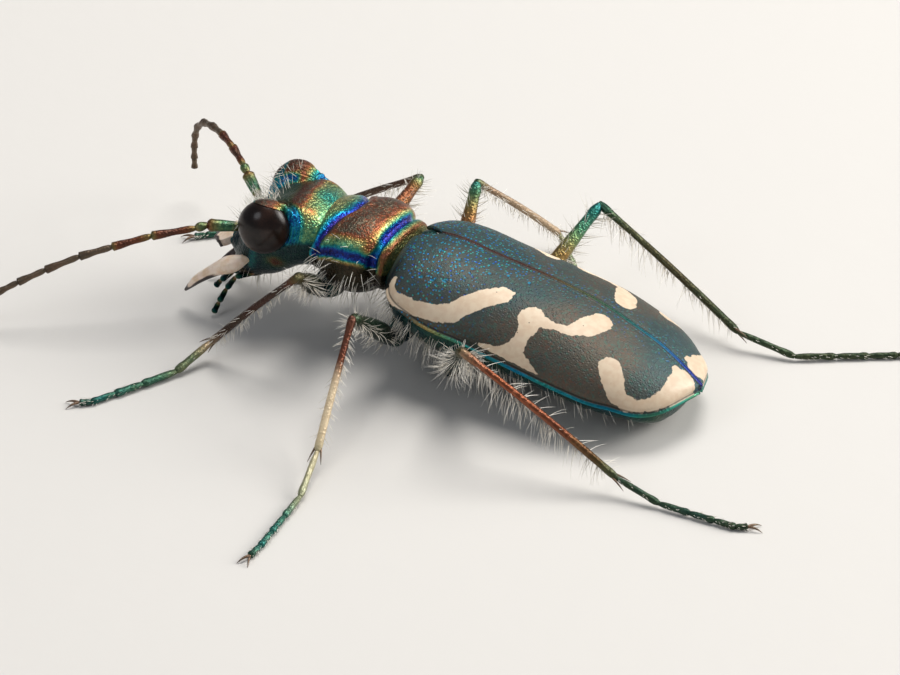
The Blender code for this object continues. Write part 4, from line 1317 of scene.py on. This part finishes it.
# Along the thigh, the shin and the foot of each leg: share, tone, dark and pale. Dark holds the
# cuticle's own darkness and the painted shade, which makes the near thighs almost black.
LEG_COLOUR_AND_SHADE = {
    "leg_front_left": (
        ((0, 0.4, 0.93, 0), (0.85, 0.6, 0.9, 0), (1, 0.6, 0.8, 0)),
        ((0, 0.6, 0.75, 0), (0.15, 0.88, 0.72, 0), (0.9, 0.9, 0.74, 0), (1, 0.85, 0.6, 0.25)),
        (
            (0, 0.7, 0.5, 0.4), (0.1, 0.5, 0.6, 0.1), (0.3, 0.42, 0.66, 0), (0.7, 0.36, 0.68, 0),
            (1, 0.4, 0.85, 0),
        ),
    ),
    "leg_middle_left": (
        ((0, 0.4, 0.93, 0), (0.8, 0.45, 0.93, 0), (1, 0.5, 0.85, 0)),
        (
            (0, 0.84, 0.7, 0), (0.06, 0.84, 0.45, 0), (0.34, 0.82, 0.35, 0), (0.46, 0.74, 0.3, 0.8),
            (0.92, 0.6, 0.1, 0.95), (1, 0.5, 0.4, 0.6),
        ),
        (
            (0, 0.5, 0.5, 0.6), (0.2, 0.45, 0.55, 0.3), (0.4, 0.38, 0.6, 0), (0.8, 0.36, 0.65, 0),
            (1, 0.4, 0.8, 0),
        ),
    ),
    "leg_hind_left": (
        ((0, 0.4, 0.93, 0), (0.8, 0.42, 0.93, 0), (1, 0.6, 0.8, 0)),
        (
            (0, 0.7, 0.6, 0.2), (0.05, 0.8, 0.1, 0), (0.4, 0.79, 0.0, 0), (0.6, 0.8, 0.3, 0),
            (0.78, 0.72, 0.66, 0), (1, 0.5, 0.86, 0),
        ),
        ((0, 0.45, 0.86, 0), (0.5, 0.42, 0.84, 0), (1, 0.5, 0.88, 0)),
    ),
    "leg_front_right": (
        ((0, 0.6, 0.5, 0), (0.6, 0.74, 0.3, 0), (0.86, 0.7, 0.4, 0), (1, 0.45, 0.6, 0)),
        ((0, 0.5, 0.75, 0), (0.2, 0.85, 0.7, 0.05), (1, 0.9, 0.7, 0.1)),
        ((0, 0.5, 0.65, 0), (0.6, 0.4, 0.65, 0), (1, 0.4, 0.8, 0)),
    ),
    "leg_middle_right": (
        (
            (0, 0.5, 0.5, 0), (0.4, 0.7, 0.25, 0), (0.7, 0.7, 0.25, 0), (0.85, 0.5, 0.45, 0),
            (1, 0.36, 0.55, 0),
        ),
        ((0, 0.5, 0.75, 0), (0.2, 0.8, 0.6, 0.3), (1, 0.8, 0.5, 0.5)),
        ((0, 0.5, 0.5, 0.3), (0.5, 0.4, 0.6, 0), (1, 0.4, 0.8, 0)),
    ),
    "leg_hind_right": (
        (
            (0, 0.36, 0.35, 0), (0.3, 0.44, 0.25, 0), (0.55, 0.68, 0.25, 0), (0.72, 0.45, 0.3, 0),
            (0.93, 0.34, 0.4, 0), (1, 0.3, 0.6, 0),
        ),
        ((0, 0.4, 0.7, 0), (0.12, 0.5, 0.8, 0), (0.5, 0.6, 0.84, 0), (1, 0.5, 0.85, 0)),
        ((0, 0.5, 0.84, 0), (1, 0.5, 0.86, 0)),
    ),
}
HORN = {"tone": ((0, 0.85), (1, 0.9)), "dark": ((0, 0.6), (1, 0.7)), "pale": ((0, 0.15), (1, 0.1))}
THIGH_GIRTH = {"front": 1.0, "middle": 1.0, "hind": 0.98}
FOOT_HEIGHTS = (None, 0.16, 0.13, 0.118, 0.108, 0.104)
THIGH_STOPS = ((0, 0.14), (0.08, 0.2), (0.3, 0.265), (0.6, 0.22), (0.86, 0.165), (0.95, 0.165), (1, 0.1))
THIGH = turned(THIGH_STOPS, 20, 26)
SHIN_STOPS = ((0, 0.09), (0.03, 0.12), (0.1, 0.105), (0.5, 0.103), (0.9, 0.105), (0.98, 0.1), (1, 0.07))
SHIN = turned(SHIN_STOPS, 16, 26)
TOE = turned(((0, 0.06), (0.12, 0.078), (0.7, 0.088), (0.94, 0.094), (1, 0.065)), 12, 12)
SPUR = turned(((0, 0.034), (0.3, 0.028), (1, 0.006)), 8, 8)
CLAW = turned(((0, 0.045), (0.4, 0.034), (1, 0.006)), 8, 9)


def leg_joints(name):
    """Thigh's start, knee, ankle, then the foot's joints laid down on the floor."""
    pair, side = name.split("_")[1:]
    start = np.array(THIGHS[pair]) * (1, 1 if side == "left" else -1, 1)
    start = moved(FLOOR.inverted() @ TRUNK, [start])[0]
    knee, ankle, heel, last, tips = [np.array(p) for p in LEGS[name]]
    toes = last - heel
    foot = [ankle, heel, heel + toes * 0.4, heel + toes * 0.72, last, last + (tips - last) * 0.45]
    for joint, height in zip(foot, FOOT_HEIGHTS):
        if height:
            joint[2] = height
    return start, knee, foot, tips


def stretch_stops(stops, column, low=0.0, high=1.0):
    """One column of a leg's colour stops, read between two shares of the whole."""
    table = [(row[0], row[column]) for row in stops]
    shares = np.linspace(0, 1, 7)
    values = np.interp(low + (high - low) * shares, *np.array(table, float).T)
    return list(zip(shares, values))


def coloured(stops, low=0.0, high=1.0):
    return {key: stretch_stops(stops, i + 1, low, high) for i, key in enumerate(("tone", "dark", "pale"))}


def make_leg(name):
    """Thigh, shin and foot: one piece for each of the leg's three solids."""
    pair = name.split("_")[1]
    start, knee, foot, tips = leg_joints(name)
    thigh_colour_and_shade, shin_colour_and_shade, foot_colour_and_shade = LEG_COLOUR_AND_SHADE[name]
    down = (foot[0] - knee) / np.linalg.norm(foot[0] - knee)
    thigh = laid(THIGH, start, knee, THIGH_GIRTH[pair], 0.02, **coloured(thigh_colour_and_shade))
    shin = [laid(SHIN, knee - down * 0.05, foot[0], 1.0, 0.012, **coloured(shin_colour_and_shade))]
    onward = (foot[1] - foot[0]) / np.linalg.norm(foot[1] - foot[0])
    across = np.cross(down, onward)
    across = across / np.linalg.norm(across)
    for hand in (-1, 1):
        root = foot[0] - down * 0.12 + across * hand * 0.07
        aim = down * 0.92 + across * hand * 0.24
        shin.append(laid(SPUR, root, root + aim * 0.5, 1.0, 0.03, **HORN))
    toes = []
    for i, (near_end, far_end) in enumerate(zip(foot, foot[1:])):
        wide = 1.35 if pair == "front" and i < 3 else 1.0
        colours = coloured(foot_colour_and_shade, i / 5, (i + 1) / 5)
        toes.append(laid(TOE, near_end, far_end, wide, 0.0, 1 / wide, **colours))
    forward = tips - foot[4]
    forward = forward / np.linalg.norm(forward)
    for hand in (-1, 1):
        swing = math.radians(hand * 24)
        aim = np.array((
            forward[0] * math.cos(swing) - forward[1] * math.sin(swing),
            forward[0] * math.sin(swing) + forward[1] * math.cos(swing), 0,
        ))
        tip = foot[5] + aim * 0.42
        tip[2] = 0.02
        toes.append(laid(CLAW, foot[5], tip, 1.0, 0.12, **HORN))
    thigh.name = name + "_thigh"
    return {"femur": thigh, "tibia": joined(shin, name + "_shin"), "foot": joined(toes, name + "_toes")}


for name in LEGS:
    for node, piece in make_leg(name).items():
        settle(piece, FLOOR, leg_finish, [f"{name}_{node}"])
remove(SCAPE, PEDICEL, ROD, PALP, HIP, RING, THIGH, SHIN, TOE, SPUR, CLAW)

# %% [markdown]
# ## Bristles
# White bristles stand all round the legs, along the sides of the body and on the brow. Particle
# hair would be lost when the model leaves Blender, so every bristle is a thin, three-sided,
# tapering rod, and thousands of them are joined in one mesh, built from arrays. Each also gets a
# tiny patch of its own on a map, at the place of its root on the skin rolled out flat. One that
# would reach below the floor is made shorter.

# %% Bristles as one mesh
BRISTLE_RINGS, BRISTLE_SIDES = 5, 3
PATCH = 0.003


def unit(vectors):
    return vectors / np.maximum(np.linalg.norm(vectors, axis=1, keepdims=True), 1e-9)


def above_floor(carrier, roots, aims, bends, lengths):
    """The lengths, shortened where a bristle's tip would reach below the floor."""
    tips = roots + (aims * 0.94 + bends) * lengths[:, None]
    high = moved(carrier, roots)[:, 2]
    fall = np.maximum(high - moved(carrier, tips)[:, 2], 1e-6)
    return lengths * np.clip((high - 0.03) / fall, 0.1, 1)


def bristle_mesh(name, carrier, roots, aims, bends, lengths, unwrap, thickness):
    """Tapered rods from their roots along their aims, each bending towards its bend."""
    count = len(roots)
    aims = unit(aims)
    lengths = above_floor(carrier, roots, aims, bends, lengths)
    side = unit(np.cross(aims, unit(bends) + 0.001))
    high = np.cross(side, aims)
    share = np.linspace(0, 1, BRISTLE_RINGS)[None, :, None]
    long = lengths[:, None, None]
    line = roots[:, None] + aims[:, None] * (share - 0.06) * long + bends[:, None] * share**2 * long
    girth = np.broadcast_to(thickness, count)[:, None, None] * (1 - 0.85 * share**1.5)
    turn = 2 * math.pi * np.arange(BRISTLE_SIDES) / BRISTLE_SIDES
    round_it = side[:, None] * np.cos(turn)[None, :, None] + high[:, None] * np.sin(turn)[None, :, None]
    points = (line[:, :, None] + round_it[:, None] * girth[..., None]).reshape(-1, 3)
    ring, place = np.meshgrid(np.arange(BRISTLE_RINGS - 1), np.arange(BRISTLE_SIDES), indexing="ij")
    ring, place = ring.ravel() * BRISTLE_SIDES, place.ravel()
    onward = (place + 1) % BRISTLE_SIDES
    above = ring + BRISTLE_SIDES
    quads = np.column_stack([ring + place, ring + onward, above + onward, above + place])
    first = np.arange(count)[:, None, None] * BRISTLE_RINGS * BRISTLE_SIDES
    quads = (quads[None] + first).reshape(-1, 4)
    root_cap = np.arange(BRISTLE_SIDES)[::-1]
    tip_cap = np.arange(BRISTLE_SIDES) + (BRISTLE_RINGS - 1) * BRISTLE_SIDES
    caps = (np.array([root_cap, tip_cap])[None] + first).reshape(-1, BRISTLE_SIDES)
    mesh = bpy.data.meshes.new(name)
    mesh.from_pydata(points.tolist(), [], quads.tolist() + caps.tolist())
    patch = np.zeros((count, BRISTLE_RINGS, BRISTLE_SIDES, 2))
    patch[..., 0] = np.arange(BRISTLE_SIDES) / BRISTLE_SIDES
    patch[..., 1] = share[..., 0, None]
    patch = (unwrap[:, None, None] * (1 - PATCH) + patch * PATCH).reshape(-1, 2)
    corners = np.empty(len(mesh.loops), np.int32)
    mesh.loops.foreach_get("vertex_index", corners)
    mesh.uv_layers.new(name="OFBake").data.foreach_set("uv", patch[corners].astype(np.float32).ravel())
    made = bpy.data.objects.new(name, mesh)
    bpy.context.scene.collection.objects.link(made)
    paint(made, "share", np.tile(np.repeat(share.ravel(), BRISTLE_SIDES), count))
    paint(made, "own", np.repeat(DRAW.random(count), BRISTLE_RINGS * BRISTLE_SIDES))
    return made


DRAW = np.random.default_rng(7)


def bristle_finish():
    f = Finish("bristle_finish", {"Roughness": 0.42, "Specular IOR Level": 0.6})
    own, share = f.value("own"), f.value("share")
    f.feed("Base Color", f.mix((0.62, 0.55, 0.44), (0.92, 0.89, 0.82), own * 0.6 + share * 0.5))
    return f.material


bristle_look = bristle_finish()

# %% [markdown]
# On the body the roots are drawn at random from the points of a finished piece, more often where
# the real bristles are dense. Each bristle leans between the skin's normal and the lie of the
# coat there. The order of a mesh's points is the same on every run and that of its faces isn't,
# so the draw goes by points, each with the area round it as its weight.

# %% Bristles of the body and the head
def scatter(obj, carrier, count, density):
    """Roots on a piece's skin, drawn by area and density, with the normals there and an unwrap."""
    mesh = obj.data
    corners = np.empty(len(mesh.loops), np.int32)
    areas, sides = np.empty(len(mesh.polygons)), np.empty(len(mesh.polygons), np.int32)
    mesh.loops.foreach_get("vertex_index", corners)
    mesh.polygons.foreach_get("area", areas)
    mesh.polygons.foreach_get("loop_total", sides)
    points = moved((Matrix.Scale(MM, 4) @ carrier).inverted(), points_of(obj))
    normals = normals_of(obj) @ np.array(carrier)[:3, :3]
    round_it = np.bincount(corners, np.repeat(areas / sides, sides), len(points))
    chance = round_it * density(points, normals)
    picked = DRAW.choice(len(points), count, p=chance / chance.sum())
    roots = points[picked] + DRAW.normal(0, 0.016, (count, 3))
    low, high = points.min(0), points.max(0)
    middle = (low + high) / 2
    turn = np.arctan2(roots[:, 2] - middle[2], roots[:, 1] - middle[1]) / (2 * math.pi) + 0.5
    along = np.clip((roots[:, 0] - low[0]) / (high[0] - low[0]), 0, 1)
    return roots, normals[picked], np.column_stack([along, turn])


def coat(name, carrier, patches, thickness=0.0115):
    """One joined mesh of bristles from several patches: piece, count, density, lie, lengths."""
    rows = []
    for obj, count, density, upright, lie, shortest, longest in patches:
        roots, normals, unwrap = scatter(obj, carrier, count, density)
        aims = unit(normals) * upright + np.array(lie) + DRAW.normal(0, 0.22, (count, 3))
        outward = np.sign(roots[:, 1])
        aims[:, 1] += outward * 0.1
        bends = np.array((-0.12, 0, -0.16)) + DRAW.normal(0, 0.05, (count, 3))
        rows.append((roots, aims, bends, DRAW.uniform(shortest, longest, count), unwrap))
    made = bristle_mesh(name, carrier, *[np.concatenate(column) for column in zip(*rows)], thickness)
    return settle(made, carrier, bristle_look)


def flank(low, high, front, back):
    """Density of a band along the sides, between two heights and two places along the body."""
    def density(points, normals):
        x, _, z = points.T
        band = rise(low - 0.1, low + 0.1, z) * rise(high + 0.1, high - 0.1, z)
        return band * (x < front) * (x > back) * rise(0.15, 0.6, np.abs(normals[:, 1]))
    return density


coat("bristles_body", TRUNK, (
    (thorax, 620, flank(-2.55, -1.45, 0.6, -3.2), 1.0, (-0.1, 0, -0.4), 0.35, 0.66),
    (abdomen, 130, flank(-2.6, -1.5, -2.9, -4.6), 0.8, (-0.5, 0, -0.6), 0.3, 0.6),
    (abdomen, 60, flank(-2.6, -1.4, -4.2, -7.8), 0.8, (-0.8, 0, -0.4), 0.2, 0.4),
    (front_hips, 170, flank(-2.9, -1.6, 3.0, 1.0), 1.0, (0, 0, -0.4), 0.35, 0.65),
    (pronotum, 170, flank(-2.2, -1.2, 2.7, 0.6), 1.0, (0.1, 0, -0.35), 0.35, 0.65),
    (pronotum, 16, flank(-1.1, -0.5, 2.6, 0.6), 1.0, (0.1, 0, 0.3), 0.4, 0.6),
))


def brow_density(points, normals):
    x, y, z = points.T
    return rise(1.4, 1.8, x) * rise(0.0, 0.2, z) * rise(2.6, 2.3, x) * rise(1.25, 1.0, np.abs(y))


def face_density(points, normals):
    x, y, z = points.T
    return rise(2.0, 2.3, x) * rise(-0.6, -0.3, z) * rise(1.0, 0.8, np.abs(y))


def cheek_density(points, normals):
    x, y, z = points.T
    return rise(-1.0, -1.4, z) * rise(0.3, 0.6, x) * rise(2.6, 2.3, x)


coat("bristles_head", HEAD, (
    (head, 80, brow_density, 1.0, (0.3, 0, 0.35), 0.3, 0.7),
    (head, 130, face_density, 0.8, (0.4, 0, 0.7), 0.4, 0.85),
    (head, 80, cheek_density, 1.0, (0.2, 0, -0.4), 0.25, 0.5),
), 0.0085)

# %% [markdown]
# On the legs the bristles stand in rows. They are long and spread on the thighs, and short,
# stiff and slanted towards the foot on the shins, so they are placed by share along the segment
# and angle round it.

# %% Bristles of the legs
def row_on(start, end, girth, count, angles, spread, lengths, slant, strip, crowding=1.0):
    """Bristles on one segment: slant leans them to its end, crowding gathers them at its start."""
    start, end = np.asarray(start), np.asarray(end)
    direction = (end - start) / np.linalg.norm(end - start)
    side, high = across_of(direction)
    share = DRAW.uniform(0.04 + 0.1 * (crowding > 1), 0.97, count) ** crowding
    turn = np.radians(DRAW.choice(angles, count) + DRAW.normal(0, spread, count))
    radial = np.outer(np.cos(turn), side) + np.outer(np.sin(turn), high)
    roots = start + np.outer(share, end - start) + radial * np.interp(share, *np.array(girth).T)[:, None]
    lean = slant + DRAW.normal(0, 0.12, count)
    aims = radial + direction * lean[:, None] + DRAW.normal(0, 0.1, (count, 3))
    bends = direction * 0.2 + DRAW.normal(0, 0.05, (count, 3))
    unwrap = np.column_stack([share, (strip + np.mod(turn / (2 * math.pi), 1)) / STRIPS])
    return roots, aims, bends, DRAW.uniform(*lengths, count) * (1 - 0.3 * (crowding - 1) * share), unwrap


STRIPS = 18
THIGH_ROOTS = ((0, 0.13), (0.3, 0.24), (0.6, 0.2), (1, 0.13))
SHIN_ROOTS = ((0, 0.1), (0.5, 0.1), (1, 0.1))
TOE_ROOTS = ((0, 0.06), (1, 0.08))


def leg_bristles(side):
    rows = []
    for number, name in enumerate(leg for leg in LEGS if leg.endswith(side)):
        start, knee, foot, _ = leg_joints(name)
        ankle, shin = foot[0], number + 3
        long = (0.35, 0.75) if "hind" in name else (0.28, 0.55)
        rows.append(row_on(start, knee, THIGH_ROOTS, 130, (-150, -90, -40, 0, 180), 16, long, 0.5, number))
        rows.append(row_on(start, knee, THIGH_ROOTS, 24, (60, 120, 90), 16, (0.2, 0.4), 0.6, number))
        if "hind" in name:
            outer = 0 if side == "left" else 180
            fringe = (-90, (outer - 90) / 2, outer - 60) if side == "left" else (-90, -135, -120)
            rows.append(row_on(knee, ankle, SHIN_ROOTS, 100, fringe, 12, (0.5, 0.9), 0.3, shin, 2.0))
            rows.append(row_on(knee, ankle, SHIN_ROOTS, 18, (180 - outer,), 6, (0.6, 0.85), 0.3, shin))
        rows.append(row_on(knee, ankle, SHIN_ROOTS, 90, (-140, -90, -40), 14, (0.2, 0.36), 0.6, shin))
        few = 10 if "hind" in name else 34
        upper = (5, 175, 40, 140)
        rows.append(row_on(knee, ankle, SHIN_ROOTS, few, upper, 10, (0.16, 0.28), 0.5, shin + 3))
        for i, (near_end, far_end) in enumerate(zip(foot, foot[1:])):
            around = (-15, 195, 30, 150)
            rows.append(row_on(near_end, far_end, TOE_ROOTS, 18, around, 14, (0.08, 0.14), 1.0, shin + 6 + i))
    columns = [np.concatenate(column) for column in zip(*rows)]
    made = bristle_mesh("bristles_legs_" + side, FLOOR, *columns, 0.0098)
    return settle(made, FLOOR, bristle_look)


for side in ("left", "right"):
    leg_bristles(side)

# %% [markdown]
# ## Floor and light
# The floor is plain and pale. Metallic cuticle shows only what it mirrors, so the light is broad:
# a bright, even surrounding, a soft panel overhead, a wide one behind the beetle's right side
# that draws the highlights on the eye and along the limbs, a small one before it for the
# highlights' bright middle, and a weak one that lifts the shadows.

# %% Floor
deselect()
bpy.ops.mesh.primitive_plane_add(size=0.6, location=(0, 0, 0))
floor = bpy.context.object
floor.name = "floor"
floor_look = Finish("floor_finish", {"Base Color": (0.62, 0.6, 0.57, 1), "Roughness": 0.9})
floor_look.feed("Normal", floor_look.bump(floor_look.noise(floor_look.place(), 0.9, 4.0), 0.01))
floor.data.materials.append(floor_look.material)


# %% Light
def soft_panel(name, place, size, power, colour=(1, 1, 1)):
    panel = bpy.data.objects.new(name, bpy.data.lights.new(name, "AREA"))
    panel.data.shape = "DISK"
    panel.data.size = size
    panel.data.energy = power
    panel.data.color = colour
    panel.location = place
    panel.rotation_euler = Vector(place).to_track_quat("Z", "Y").to_euler()
    bpy.context.scene.collection.objects.link(panel)


soft_panel("panel_above", (0.0, -0.07, 0.2), 0.12, 0.32, (1, 0.98, 0.95))
soft_panel("panel_key", (-0.165, -0.12, 0.11), 0.22, 0.48, (1, 0.97, 0.92))
soft_panel("panel_glint", (-0.145, -0.106, 0.094), 0.08, 0.15, (1, 0.98, 0.95))
soft_panel("panel_fill", (0.08, 0.16, 0.14), 0.1, 0.07, (0.9, 0.95, 1))
world = bpy.data.worlds.new("soft_room")
world.use_nodes = True
world.node_tree.nodes["Background"].inputs["Color"].default_value = (0.85, 0.9, 1.0, 1)
world.node_tree.nodes["Background"].inputs["Strength"].default_value = 0.24
bpy.context.scene.world = world
bpy.context.scene.view_settings.view_transform = "Standard"
